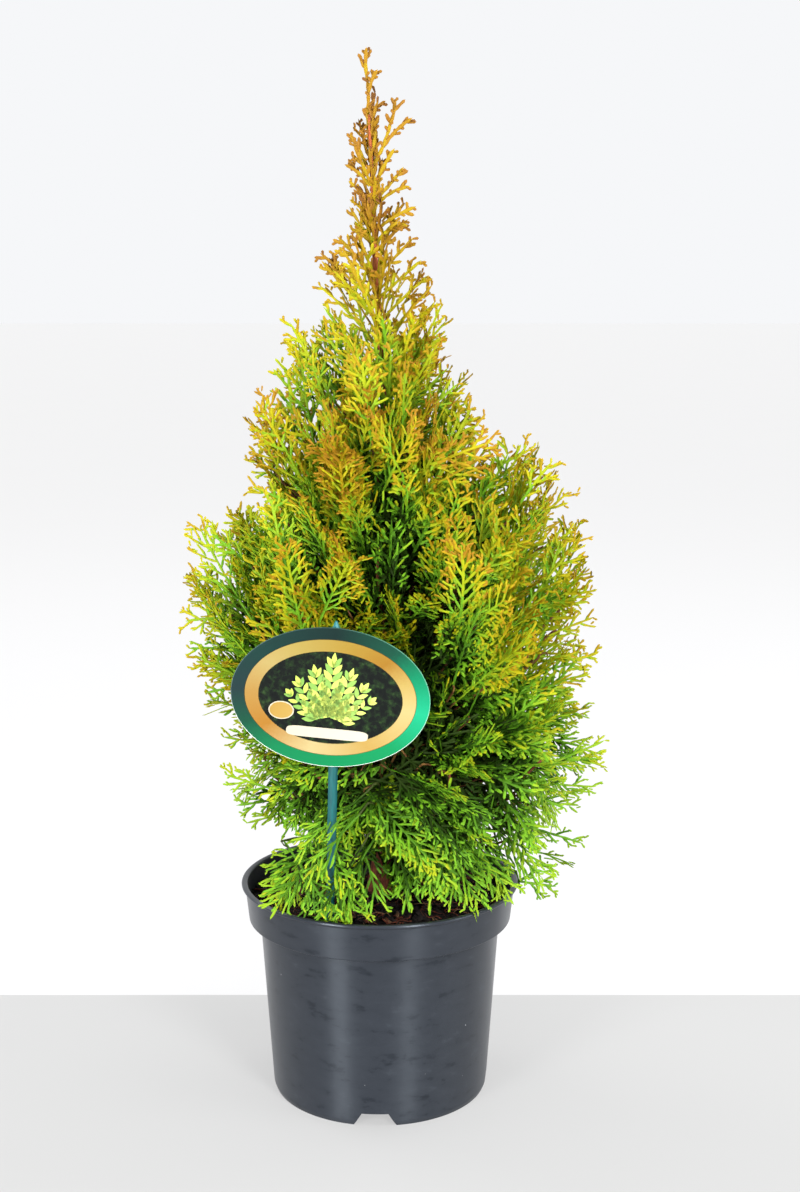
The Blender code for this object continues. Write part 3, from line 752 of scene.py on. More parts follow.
# the leafy top, drawn shoot by shoot in the plane of the picture: millimetres
# right of and above the stem at z = 560 mm; three points make a curved shoot
TOP_Z = 0.560
TOP_SHOOTS = [
    ((0.3, -6), (-1.2, 8.0), (-1.5, 20.0)), ((-1.5, 16), (-1.0, 26.9), (-2.3, 38.3)),
    ((-2.1, 36), (-2.4, 44), (-2.0, 51.2)), ((-2.1, 39.8), (-4.2, 43.0), (-5.5, 47.6)),
    ((-1.9, 46.4), (0.6, 50.2)), ((-4.4, 44.2), (-6.4, 47.6)), ((-0.7, 27.0), (0.9, 33.0), (4.1, 39.0)),
    ((1.7, 35.6), (0.8, 39.6)), ((2.8, 37.0), (5.0, 38.0)), ((-0.8, 20.0), (2.5, 23.4)),
    ((-1.4, 13.0), (-4.0, 18.4)), ((-3.0, 15.6), (-2.6, 18.6)), ((1.6, -4), (2.6, 6), (2.4, 14.0)),
    ((2, -12), (6.6, -3), (11.6, 11.9)), ((11.0, 10.0), (13.2, 16), (13.9, 24.0)),
    ((13.2, 17.0), (16.0, 20.0), (19.3, 23.2)), ((11.2, 10.6), (9.4, 15.4)), ((13.6, 20), (12.4, 24)),
    ((7.4, -2.7), (13.0, 4.0), (24.4, 12.9)), ((17.2, 7.6), (20.7, 14.2)), ((21, 10.6), (25.6, 11.2)),
    ((13.6, 4.4), (17.4, 5.0)), ((-1.2, -14.2), (-6.0, -5.0), (-11.9, 4.9)), ((-10, 1.0), (-13.2, 4.6)),
    ((-6.3, -5.4), (-6.8, 2.6)), ((-8.6, -1.4), (-9.2, 2.4)), ((-0.6, -24.2), (-6.5, -16), (-13.9, -12)),
    ((-10.4, -13.8), (-10.6, -7.4)), ((-9.0, -14.8), (-13.0, -9.0)), ((3.1, -31.3), (11.0, -23.0), (19.2, -13.0)),
    ((15.8, -17.9), (21.4, -15.2)), ((12.6, -21.4), (12.4, -17.0)), ((3.4, -21.9), (8.4, -12.3), (14.2, -3.7)),
    ((10.2, -9.0), (9.6, -4.2)), ((4.2, -33.8), (13.8, -26.3), (23, -24.3)), ((17.2, -25.3), (20.7, -20.8)),
    ((-0.7, -32.8), (-7.2, -25.2), (-12.2, -21.3)), ((-9.0, -23.6), (-7.6, -19.6)),
    ((0.1, -43.5), (-7.2, -34.9), (-14.5, -32)), ((-10.6, -33.2), (-10.4, -28.6)),
    ((3.5, -48.4), (15.2, -40.2), (26.8, -35.6)), ((19.3, -38.4), (24.8, -40.2)),
    ((21.4, -37.4), (21.3, -33.2)), ((15.6, -40.0), (17.2, -36.2)),
    ((2.8, -56.2), (12.3, -49.0), (21.8, -44.4)), ((15.4, -47.2), (20.2, -48.6)), ((12.6, -48.6), (13.6, -44.2)),
    ((0.2, -55.2), (-6.5, -49.9), (-12.7, -47.3)), ((-7.4, -49.6), (-9.4, -45.6)),
    ((-0.4, -8.0), (-4.0, 2.0), (-3.8, 9.0)), ((0.6, -20.0), (3.6, -10.0), (3.0, -1.0)),
    ((-0.2, -30.0), (-3.6, -21.0), (-3.2, -11.0)), ((0.8, -40.0), (4.4, -30.0), (4.2, -20.0)),
    ((0.0, -48.0), (-3.4, -39.0), (-3.4, -28.0)),
]


def drawn_top():
    """The shoots listed above, each turned a little out of the plane."""
    r = np.random.default_rng(12)
    count, home, shoot = 0, None, None
    for points in TOP_SHOOTS:
        p = np.array(points, float) / 1000
        if len(p) == 3:
            d1, d2 = p[1] - p[0], p[2] - p[0]
            h1, h2 = math.atan2(-d1[0], d1[1]), math.atan2(-d2[0], d2[1])
            turn = max(-1.6, min(1.6, 4 * (h2 - h1)))
            heading, length, order = h2 - 0.5 * turn, np.linalg.norm(d2), 0
            # a curved shoot starts a new plane, which its own forks share
            start = p[0]
            at = stem_at(TOP_Z + start[1])
            offset = r.uniform(-0.0008, 0.0008)
            swing = r.normal(0, 0.30) if abs(p[2][0]) > 0.006 else 0.0
            home, shoot = start, (offset, swing)
        else:
            d2 = p[1] - p[0]
            heading, length, turn, order = math.atan2(-d2[0], d2[1]), np.linalg.norm(d2), 0.0, 1
        offset, swing = shoot
        across = p[0][0] - home[0]
        base = stem_at(TOP_Z)
        base = np.array([base[0] + home[0] + across * math.cos(swing),
                         base[1] + offset - across * math.sin(swing), TOP_Z + p[0][1]])
        plane = np.array([-math.sin(swing), -math.cos(swing), 0.0])
        k = len(FRONDS)
        FRONDS.append((base, np.array([0, 0, 1.0]), np.cross(plane, [0, 0, 1.0]), plane, 0.0, 0.0,
                       0.0, float(np.interp(base[2], [0.50, 0.53, 0.56, 0.61], [7.7, 8.4, 8.8, 9.2]))
                       + r.normal(0, 0.25), 1.30))
        row = [(0.0, 0.0, heading, length, turn, 1.0, 1, 0.45 if order == 0 else 0.95)]
        if order == 0 and length > 0.010:
            side = 1
            for s in (0.42, 0.60, 0.76, 0.90):
                mid = heading + turn * s * 0.5
                row.append((s * length * math.cos(mid), s * length * math.sin(mid),
                            heading + turn * s + side * math.radians(r.normal(42, 5)),
                            r.uniform(0.0022, 0.0034), 0.0, 0.94, 3, 0.9))
                side = -side
        row = np.array(row)
        for key, col in zip("uvalcwox", range(8)):
            PIECES[key].append(row[:, col])
        PIECES["f"].append(np.full(len(row), k))
        count += 1
    return count


def leader_spray(z, a, rise, length, face, r):
    radial = np.array([math.cos(a), math.sin(a), 0.0])
    along = radial * math.cos(rise) + np.array([0, 0, math.sin(rise)])
    base = stem_at(z)
    flat = unit(np.cross(np.cross(along, radial), along))
    edge = unit(np.cross(along, flat))
    normal = flat * math.cos(face) + edge * math.sin(face)
    bare = length * SHANK / (1 + SHANK)
    if length > 0.040:
        bare = length * 0.38
        stem_twig(base + along * bare, along, (length - bare), 0.0007, r)
    add_frond(base + along * bare, along, normal, length - bare,
              (length - bare) * r.uniform(0.16, 0.26) + 0.001,
              tone_at(base + along * length, r) - 0.2, r.normal(-5, 4),
              r.normal(0, 4), r.normal(0, 6), "sparse", int(r.integers(0, 6)),
              float(np.interp(z, [0.44, 0.50], [1.12, 1.32])))


def leader():
    r = np.random.default_rng(77)
    z, a, count = 0.385, 0.3, 0
    while z < 0.575:
        a += math.radians(137.5) + r.normal(0, 0.22)
        turn = (a + math.pi) % (2 * math.pi) - math.pi
        side = min(abs(turn), math.pi - abs(turn))      # 0 beside the stem
        if z > 0.46 and side < math.radians(32):
            # the listed sprays stand here
            a += math.radians(68) * (1 if turn > 0 else -1)
        rise = math.radians(np.interp(z / CM, [41, 47, 52, 60], [52, 58, 66, 74])
                            + r.normal(0, 5))
        length = 0.03
        for _ in range(12):
            z1 = z + length * math.sin(rise)
            length = 0.5 * length + 0.5 * leader_reach(z1, a) / math.cos(rise)
        length *= r.uniform(0.78, 1.06)
        length = max(0.009, min(length, 0.072))
        if z > 0.50:
            length = min(length, 0.026)
        if z + length * math.sin(rise) > 0.588:
            length = (0.588 - z) / math.sin(rise)
        if length > 0.010:
            face = math.radians(r.normal(0, 30)) + (math.pi / 2 if r.random() < 0.5 else 0)
            leader_spray(z, a, rise, length, face, r)
            count += 1
        z += np.interp(z / CM, [38, 41, 46, 50, 53, 58], [0.0016, 0.0017, 0.0026, 0.0042, 0.0075, 0.0120]) \
            * r.uniform(0.7, 1.3)
    for z, a, rise, length in LEADER_SPRAYS:
        leader_spray(z * CM, math.radians(a), math.radians(rise + r.normal(0, 3)), length * CM,
                     math.pi / 2 + math.radians(r.normal(0, 22)), r)
        count += 1
    count += drawn_top()
    return count


# ---------------------------------------------------- sprays on the compost
def low_sprays():
    r = np.random.default_rng(4)
    # foot and tip, in centimetres
    for foot, tip in [
            ((-3.0, -3.8, 17.0), (-6.4, -4.4, 13.7)), ((-3.0, -4.3, 16.6), (-5.2, -6.7, 13.2)),
            ((-2.2, -4.4, 16.6), (-3.9, -7.0, 13.4)), ((-3.6, -4.0, 16.4), (-1.2, -7.1, 13.8)),
            ((-1.2, -4.4, 17.0), (0.4, -6.8, 13.8)),
            ((-3.8, -3.6, 16.2), (-5.9, -5.4, 13.2)), ((0.6, -4.0, 17.4), (2.0, -6.4, 14.0)),
            ((2.0, -4.0, 17.4), (3.8, -6.2, 13.9)), ((3.4, -3.4, 17.0), (5.8, -5.8, 13.5)),
            ((4.4, -2.0, 17.6), (7.2, -4.9, 13.4)), ((5.4, -1.4, 18.0), (9.4, -3.6, 13.7)),
            ((-3.9, -4.2, 17.6), (-2.0, -8.1, 14.9)),
            ((-1.6, -3.8, 16.0), (-2.6, -7.4, 13.0)), ((-0.8, -5.4, 16.2), (-3.3, -7.2, 13.2)),
            ((-1.5, -6.8, 19.4), (-4.3, -8.1, 17.3)), ((-1.7, -6.9, 18.2), (-4.1, -8.0, 15.9)),
            ((-1.4, -6.7, 16.2), (-3.3, -7.8, 13.5)), ((-4.7, -5.8, 16.0), (-2.5, -7.8, 13.6)), ((2.8, -3.4, 16.4), (1.2, -6.0, 14.0))]:
        foot, tip = np.array(foot) * CM, np.array(tip) * CM
        length = np.linalg.norm(tip - foot)
        along = (tip - foot) / length
        normal = turn_about(np.array([0.12 * np.sign(tip[0]), -0.72, 0.70]), along,
                            r.normal(0, 16))
        add_frond(foot, along, normal, length, length * 0.40, tone_at(tip, r) + 0.2,
                  r.normal(-3, 2), r.normal(-2, 3), r.normal(0, 4), "long", int(r.integers(0, 6)),
                  0.86)
        stem_twig(foot, along, length, 0.0007, r, True)


# sprays that stand out against the sky on both sides: foot and tip (x, z) and y, cm
OUTER_SPRAYS = [
    ((10.4, 20.4), (14.1, 21.6), -0.9), ((10.6, 28.0), (13.1, 29.1), 0.2),
    ((11.1, 29.7), (12.7, 30.9), -0.5), ((10.6, 31.8), (12.6, 32.6), 0.4),
    ((9.5, 34.7), (11.7, 36.6), 0.5), ((8.2, 35.9), (9.9, 38.9), -1.6),
    ((9.8, 18.2), (12.9, 19.2), -1.8), ((9.8, 15.4), (12.9, 14.4), 1.2),
    ((9.3, 18.3), (11.7, 17.2), -0.9), ((9.6, 33.1), (11.8, 34.2), -1.0),
    ((10.2, 25.3), (12.5, 25.7), 1.8), ((10.1, 23.5), (12.5, 23.8), -0.1),
    ((7.7, 12.3), (11.3, 11.4), 1.2), ((6.9, 36.6), (8.7, 39.6), -0.1), ((2.3, 37.7), (6.7, 40.3), -2.4),
    ((2.9, 36.7), (6.6, 38.8), -1.8), ((2.9, 38.9), (6.0, 41.1), -0.8), ((2.8, 40.1), (5.5, 42.2), 0.2),
    ((2.5, 40.8), (5.1, 42.8), -0.8),
    ((10.2, 22.4), (13.3, 23.5), 0.7), ((10.3, 19.9), (13.9, 20.5), 0.4), ((10.2, 18.9), (13.5, 18.6), -0.5),
    ((8.9, 17.4), (12.4, 17.3), 0.3), ((8.6, 14.8), (12.3, 13.6), 0.0), ((10.0, 26.6), (12.6, 26.5), -0.7),
    ((-8.9, 30.0), (-11.4, 32.0), 0.5), ((-7.6, 32.3), (-10.0, 34.6), -1.3),
    ((-7.1, 33.0), (-8.8, 35.6), 0.5), ((-9.1, 29.4), (-11.7, 30.3), 1.3),
    ((-9.0, 28.8), (-12.1, 29.0), 0.1), ((-9.2, 26.8), (-11.9, 26.6), 0.9),
    ((-8.5, 24.6), (-11.0, 23.8), 0.6), ((-6.3, 18.9), (-9.7, 19.9), -1.6),
    ((-6.3, 17.4), (-9.3, 16.9), 0.9), ((-5.7, 16.9), (-8.4, 15.7), 0.3),
    ((-5.7, 37.0), (-7.8, 38.5), -0.7), ((-5.4, 36.0), (-7.6, 37.2), -1.7),
    ((-7.1, 20.8), (-10.0, 21.2), 1.3), ((-4.6, 39.3), (-6.7, 40.9), -0.1),
    ((-3.6, 41.5), (-5.7, 43.5), 0.8), ((-3.3, 43.1), (-5.1, 45.6), 1.4),
]


def outer_sprays():
    r = np.random.default_rng(5)
    for (fx, fz), (tx, tz), y in OUTER_SPRAYS:
        foot = np.array([fx, y - r.uniform(-0.3, 0.3), fz]) * CM
        tip = np.array([tx, y * 1.2, tz]) * CM
        length = np.linalg.norm(tip - foot)
        along = (tip - foot) / length
        length -= 0.0055
        normal = turn_about(np.array([0.0, -1.0, 0.15]), along, r.normal(0, 20))
        add_frond(foot, along, normal, length, length * r.uniform(0.30, 0.40),
                  tone_at(tip, r), r.normal(0, 3), r.normal(0, 3), r.normal(0, 4),
                  "airy" if tz > 25 else "sparse", int(r.integers(0, 6)), 0.98)
        stem_twig(foot, along, length, 0.0008, r)


body_count = body_of_crown()
leader_count = leader()
low_sprays()
outer_sprays()
print("FRONDS", body_count, leader_count, len(FRONDS), "axes", sum(len(x) for x in PIECES["u"]))

# ------------------------------------------------------- build all the axes
A = {k: np.concatenate(v) for k, v in PIECES.items()}
F = A["f"].astype(int)
FB = np.array([f[0] for f in FRONDS])
FA = np.array([f[1] for f in FRONDS])
FS = np.array([f[2] for f in FRONDS])
FN = np.array([f[3] for f in FRONDS])
FK = np.array([[f[4], f[5], f[6]] for f in FRONDS])
FT = np.array([f[7] for f in FRONDS])
FW = np.array([f[8] for f in FRONDS])
jit = np.random.default_rng(99)
axis_tilt = jit.normal(0, 0.24, len(F))
LEAF_W = 0.00080        # half width of a leafy axis
RIDGE = 0.00070


def place(f, u, v, lift):
    """Frond plane to space, with the frond's bend, cup and twist."""
    kb, kc, kt = FK[f, 0][:, None], FK[f, 1][:, None], FK[f, 2][:, None]
    w = 0.5 * kb * u ** 2 + 0.5 * kc * v ** 2 + kt * u * v + lift
    return (FB[f][:, None] + FA[f][:, None] * u[..., None]
            + FS[f][:, None] * v[..., None] + FN[f][:, None] * w[..., None])


# one tint to an axis: greener at a frond's foot, riper towards its ends, and darker and greener deeper inside the
# crown, partly as painted shade
order_all = A["o"]
mid_u = A["u"] + 0.6 * A["l"] * np.cos(A["a"])
mid_v = A["v"] + 0.6 * A["l"] * np.sin(A["a"])
mid_p = FB[F] + FA[F] * mid_u[:, None] + FS[F] * mid_v[:, None]
mid_c = np.stack([np.interp(mid_p[:, 2], STEM[:, 2], STEM[:, k]) for k in range(2)], 1)
mid_d = mid_p[:, :2] - mid_c
row_i = np.clip(np.round((mid_p[:, 2] - ENV_Z[0]) / 0.005), 0, len(ENV_Z) - 1).astype(int)
col_i = np.round(np.arctan2(mid_d[:, 1], mid_d[:, 0]) / (2 * np.pi) * ENV_A).astype(int) % ENV_A
# depth below the crown's outside; it darkens an axis's tint as painted shade
depth = np.clip(SOFT[row_i, col_i] - np.hypot(mid_d[:, 0], mid_d[:, 1]), -0.01, 0.08) / CM
fade = np.interp(mid_p[:, 2], [0.13, 0.17, 0.22, 0.44, 0.50], [0.30, 0.60, 1.0, 1.0, 0.0])
axis_tint = (FT[F] + (A["x"] - 0.66) * np.interp(mid_p[:, 2], [0.40, 0.46], [3.9, 2.2])
             * np.interp(np.abs(mid_p[:, 0]), [0.03, 0.07], [1.0, 0.62]) - fade * np.clip((depth - 1.2) * 0.62, -0.5, 3.4)
             + np.where(order_all == 3, 0.3, 0.0) - 0.25
             + np.where(order_all == 0, -0.1, 0.0) + jit.normal(0, 1, len(F)) * np.interp(mid_p[:, 2], [0.44, 0.50], [0.38, 0.26]))
N_TINT = len(TINTS)
riper = np.interp(mid_p[:, 2], [0.14, 0.20, 0.26, 0.31, 0.42, 0.50], [0.45, 0.55, 0.9, 1.35, 1.15, 0.25]) \
    * np.interp(np.abs(mid_p[:, 0]), [0.05, 0.09], [1.0, 0.75])
ripest = np.interp(mid_p[:, 2], [0.15, 0.19, 0.25, 0.44, 0.50], [5.4, 5.9, 8.6, 8.6, 11.0]) \
    - np.interp(mid_p[:, 0], [-0.01, 0.02], [0.0, 0.5]) * (mid_p[:, 2] < 0.45) \
    - np.interp(mid_p[:, 0], [-0.085, -0.055], [1.3, 0.0]) * np.interp(mid_p[:, 2], [0.28, 0.33], [1.0, 0.0]) \
    - np.interp(mid_p[:, 0], [0.06, 0.09], [0.0, 0.7]) * np.interp(mid_p[:, 2], [0.36, 0.39], [1.0, 0.0])

verts_out, quads_out, tris_out, qi, ti = [], [], [], [], []
count_v = 0
pitch = np.choose(order_all.astype(int), [0.0042, 0.0034, 0.0031, 0.0024])
rings = np.clip(np.round(A["l"] / pitch), 1, 16).astype(int) + 1
for n in np.unique(rings):
    m = rings == n
    f = F[m]
    t = np.linspace(0, 0.90, n)[None, :]
    L = A["l"][m][:, None]
    head = A["a"][m][:, None] + A["c"][m][:, None] * t * 0.5
    s = t * L
    u = A["u"][m][:, None] + s * np.cos(head)
    v = A["v"][m][:, None] + s * np.sin(head)
    turn = A["a"][m][:, None] + A["c"][m][:, None] * t
    qu, qv = -np.sin(turn), np.cos(turn)
    beads = np.where(np.arange(n) % 2 == 0, 0.78, 1.12)[None, :]
    w = LEAF_W * (A["w"][m] * FW[f])[:, None] * beads * np.ones_like(t)
    w[:, 0] *= 0.70
    w[:, -1] = LEAF_W * A["w"][m] * FW[f] * 0.92
    order = order_all[m][:, None]
    lift = axis_tilt[m][:, None] * s * (order > 0)
    left = place(f, u + qu * w, v + qv * w, lift)
    mid = place(f, u, v, lift + RIDGE * FW[f][:, None])
    right = place(f, u - qu * w, v - qv * w, lift)
    reach = L * 0.08 + 0.0006
    tip = place(f, u[:, -1:] + np.cos(turn[:, -1:]) * reach,
                v[:, -1:] + np.sin(turn[:, -1:]) * reach, lift[:, -1:] + RIDGE * 0.4)
    k = int(m.sum())
    block = np.concatenate([np.stack([left, mid, right], 2).reshape(k, n * 3, 3), tip], 1)
    per = n * 3 + 1
    first = count_v + np.arange(k)[:, None] * per
    b0 = first + np.arange(n - 1)[None, :] * 3
    q1 = np.stack([b0, b0 + 1, b0 + 4, b0 + 3], -1)
    q2 = np.stack([b0 + 1, b0 + 2, b0 + 5, b0 + 4], -1)
    last = first[:, 0] + (n - 1) * 3
    t1 = np.stack([last, last + 1, first[:, 0] + n * 3], -1)
    t2 = np.stack([last + 1, last + 2, first[:, 0] + n * 3], -1)
    verts_out.append(block.reshape(-1, 3))
    # a shoot's outer part is riper than its foot
    part = (np.arange(n - 1) + 0.5) / max(1, n - 1)
    outer = (part >= (0.5 if n < 6 else 0.6))[None, :]
    ripe = axis_tint[m][:, None] + np.where(
        outer, riper[m][:, None], np.interp(mid_p[m, 2], [0.46, 0.52], [-0.35, -0.05])[:, None])
    ripe = np.minimum(ripe, ripest[m][:, None])
    tint = np.clip(np.floor(ripe), 0, N_TINT - 1).astype(int)
    quads_out += [q1.reshape(-1, 4), q2.reshape(-1, 4)]
    qi += [tint.ravel(), tint.ravel()]
    tris_out += [t1, t2]
    ti += [tint[:, -1], tint[:, -1]]
    count_v += k * per

V = np.concatenate(verts_out)
Q, qi = np.concatenate(quads_out), np.concatenate(qi)
T, ti = np.concatenate(tris_out), np.concatenate(ti)

# leaves lie on the compost and the rim, and hang outside the pot's wall
r_xy = np.hypot(V[:, 0], V[:, 1])
V[:, 2] = np.where(r_xy < 0.0775, np.maximum(V[:, 2], 0.1208), V[:, 2])
over = (r_xy >= 0.0775) & (r_xy < 0.0846)
V[:, 2] = np.where(over, np.maximum(V[:, 2], 0.1292), V[:, 2])

# none pass through the label
ax = (V[:, 0] - BOARD_C[0]) / 0.0565
az = (V[:, 2] - BOARD_C[2]) / 0.0420
near_board = (ax ** 2 + az ** 2 < 1) & (board_depth(V) > -0.0035)
s_along = (V - STICK_FOOT) @ STICK_DIR
s_off = V - (STICK_FOOT + s_along[:, None] * STICK_DIR)
near_stick = (np.linalg.norm(s_off, axis=1) < 0.0036) & (s_along > 0.03) & (s_along < 0.222)
bad_v = near_board | near_stick
bad_q, bad_t = bad_v[Q].any(1), bad_v[T].any(1)
Q, qi, T, ti = Q[~bad_q], qi[~bad_q], T[~bad_t], ti[~bad_t]
print("LEAVES", len(Q) * 2 + len(T), np.bincount(qi, minlength=N_TINT) * 2)

for k, (tint, rgb) in enumerate(TINTS):
    q, t = Q[qi == k], T[ti == k]
    if not len(q) + len(t):
        continue
    mat, tree, bsdf = principled("scale_leaf_" + tint, lin(*rgb), 0.54,
                                 0.05 if k < 2 else 0.12)
    parts = max(1, math.ceil((2 * len(q) + len(t)) / 180000))
    for part in range(parts):
        qq, tt = np.array_split(q, parts)[part], np.array_split(t, parts)[part]
        used, inv = np.unique(np.concatenate([qq.ravel(), tt.ravel()]), return_inverse=True)
        nq = inv[:qq.size].reshape(-1, 4)
        nt = inv[qq.size:].reshape(-1, 3)
        high = "foliage_gold" if k >= 7 else "foliage_lime" if k >= 4 else "foliage_green"
        make_mesh("scale_leaves_%s_%d" % (tint, part), V[used],
                                     [nq, nt], mat, slot=high)
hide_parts(*MASS_NAMES)

# ------------------------------------------------------------- bark: limbs
bark, tree, bsdf = principled("stem_bark", (0.2, 0.08, 0.04), 0.78, 0.3)
vec = mapped(tree, (1, 1, 0.22))
n1 = noise_tex(tree, vec, 900, 4)
n2 = noise_tex(tree, mapped(tree), 160, 3)
both = maths(tree, "ADD", maths(tree, "MULTIPLY", n1, 0.6), maths(tree, "MULTIPLY", n2, 0.4))
old = ramp(tree, both, [(0.30, lin(48, 24, 16)), (0.46, lin(92, 46, 28)),
                        (0.60, lin(124, 66, 42)), (0.78, lin(154, 100, 68))])
young = ramp(tree, both, [(0.30, lin(112, 52, 26)), (0.50, lin(158, 82, 42)),
                          (0.72, lin(186, 114, 66))])
tc = tree.nodes.new("ShaderNodeTexCoord")
sep = tree.nodes.new("ShaderNodeSeparateXYZ")
tree.links.new(tc.outputs["Object"], sep.inputs[0])
mix = tree.nodes.new("ShaderNodeMix")
mix.data_type = "RGBA"
tree.links.new(ramp(tree, sep.outputs["Z"], [(0.40, (0,) * 3), (0.48, (1,) * 3)]),
               mix.inputs["Factor"])
tree.links.new(old, mix.inputs[6])
tree.links.new(young, mix.inputs[7])
tree.links.new(mix.outputs[2], bsdf.inputs["Base Color"])
bump(tree, bsdf, n1, 0.5, 0.0006)

stem_pts = spline(STEM, 150)
stem_pts = stem_pts[stem_pts[:, 2] < 0.576]
stem_rad = np.interp(stem_pts[:, 2], STEM[:, 2], STEM_R)
v, q, t = tube(stem_pts, stem_rad, 20, rough=0.10)
pile = Pile()
pile.add(v, q, t)
stem_piece = pile.piece("stem_with_bark", bark, slot="bark")
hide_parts("stem")

pile = Pile()
for k, (name, limb) in enumerate(LIMBS.items()):
    n = 40
    pts = spline(limb[::5], n)
    thick = 0.0017 if name.startswith("foliage_low") else 0.0016 if name.startswith("foliage_mid") else 0.0011
    radii = np.linspace(thick, 0.0006, n)
    pile.add(*tube(pts, radii, 10, rough=0.12, seed=k * 3.7))
bough_piece = pile.piece("boughs_with_bark", bark, slot="bark")
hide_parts(*[n for n in NODES if n.startswith("bough_")])

twig_mat, tree, bsdf = principled("twig_bark", lin(96, 74, 34), 0.7, 0.2)
n1 = noise_tex(tree, mapped(tree), 350, 2)
tree.links.new(ramp(tree, n1, [(0.35, lin(72, 40, 24)), (0.6, lin(108, 74, 36)),
                               (0.8, lin(112, 108, 40))]), bsdf.inputs["Base Color"])
twig_piece = TWIGS.piece("twigs", twig_mat, slot="bark")
young_mat, tree, bsdf = principled("young_twig", lin(52, 62, 22), 0.6, 0.2)
tree.links.new(ramp(tree, noise_tex(tree, mapped(tree), 300, 2),
                    [(0.3, lin(44, 52, 20)), (0.7, lin(64, 76, 26))]), bsdf.inputs["Base Color"])
YOUNG.piece("young_twigs", young_mat, slot="foliage_green")

# --------------------------------------------------------------------- pot
T_WALL = 0.0016
P_H, LIP_R, B_TOP, B_LOW, B_Z = 0.1285, 0.0834, 0.0810, 0.0788, 0.1060
BODY_R, BASE_R, REC_Z, REC_R, MID_R = 0.0722, 0.0648, 0.0082, 0.0610, 0.0390


def rounded(points, radius, steps=4):
    """A profile with its corners rounded."""
    pts = [np.array(p, float) for p in points]
    out = [pts[0]]
    for a, b, c in zip(pts, pts[1:], pts[2:]):
        la, lc = np.linalg.norm(a - b), np.linalg.norm(c - b)
        d = min(radius, la * 0.45, lc * 0.45)
        p, q = b + (a - b) / la * d, b + (c - b) / lc * d
        for s in np.linspace(0, 1, steps + 1):
            out.append((1 - s) ** 2 * p + 2 * s * (1 - s) * b + s * s * q)
    out.append(pts[-1])
    return np.array(out)


inner = rounded([
    (0.0005, T_WALL), (MID_R - 0.0016, T_WALL), (MID_R + 0.0018, REC_Z + T_WALL),
    (BASE_R - T_WALL - 0.0010, REC_Z + T_WALL), (BODY_R - T_WALL, B_Z - 0.0020),
    (B_LOW - T_WALL, B_Z + T_WALL), (B_TOP - T_WALL, P_H - 0.0032),
    (B_TOP - T_WALL + 0.0003, P_H - 0.0004), (B_TOP + 0.0004, P_H),
    (LIP_R - 0.0004, P_H - 0.0001), (LIP_R, P_H - 0.0013),
    (LIP_R - 0.0008, P_H - 0.0021), (B_TOP + 0.0001, P_H - 0.0026),
    (B_LOW + 0.0001, B_Z + 0.0002), (B_LOW - 0.0010, B_Z - 0.0004),
    (BODY_R, B_Z - 0.0008), (BASE_R + 0.0003, 0.0026), (BASE_R - 0.0008, 0.0)],
    0.0011)
# more rings down the side, so that notches cut cleanly
STEPS = 240
v, q = turned(inner[::-1], STEPS, math.radians(-92.0))
bm = bmesh.new()
ring_pts = [bm.verts.new(c) for c in v]
for face in q:
    bm.faces.new([ring_pts[i] for i in face])
under = rounded([(BASE_R - 0.0008, 0.0), (BASE_R - 0.0026, 0.0), (REC_R, REC_Z),
                 (MID_R + 0.0032, REC_Z), (MID_R, 0.0), (0.0005, 0.0)], 0.0008, 3)
v2, q2 = turned(under[::-1], STEPS, math.radians(-92.0))
vs = [bm.verts.new(c) for c in v2]
for face in q2:
    bm.faces.new([vs[i] for i in face[::-1]])
bmesh.ops.remove_doubles(bm, verts=bm.verts, dist=0.00002)
edges = [e for e in bm.edges if e.is_boundary]
bmesh.ops.holes_fill(bm, edges=edges, sides=STEPS + 10)
bmesh.ops.recalc_face_normals(bm, faces=bm.faces)
mesh = bpy.data.meshes.new("nursery_pot")
bm.to_mesh(mesh)
bm.free()
mesh.shade_smooth()
mesh.set_sharp_from_angle(angle=math.radians(50))
pot = bpy.data.objects.new("nursery_pot", mesh)
bpy.context.scene.collection.objects.link(pot)
for k in range(4):
    bm = bmesh.new()
    bmesh.ops.create_cube(bm, size=1.0)
    for vert in bm.verts:
        up = vert.co.z > 0
        w = 0.0155 if up else 0.0298
        vert.co = Vector((vert.co.x * w, -0.0620 + vert.co.y * 0.0150,
                          0.0078 if up else -0.0040))
    bmesh.ops.recalc_face_normals(bm, faces=bm.faces)
    bm.transform(Matrix.Rotation(math.radians(-2.0 + 90 * k), 4, "Z"))
    tool_mesh = bpy.data.meshes.new("notch")
    bm.to_mesh(tool_mesh)
    bm.free()
    tool = bpy.data.objects.new("notch", tool_mesh)
    bpy.context.scene.collection.objects.link(tool)
    mod = pot.modifiers.new("notch", "BOOLEAN")
    mod.object, mod.solver = tool, "EXACT"
    bpy.context.view_layer.update()
    done = bpy.data.meshes.new_from_object(
        pot.evaluated_get(bpy.context.evaluated_depsgraph_get()))
    pot.modifiers.clear()
    pot.data = done
    bpy.data.objects.remove(tool, do_unlink=True)

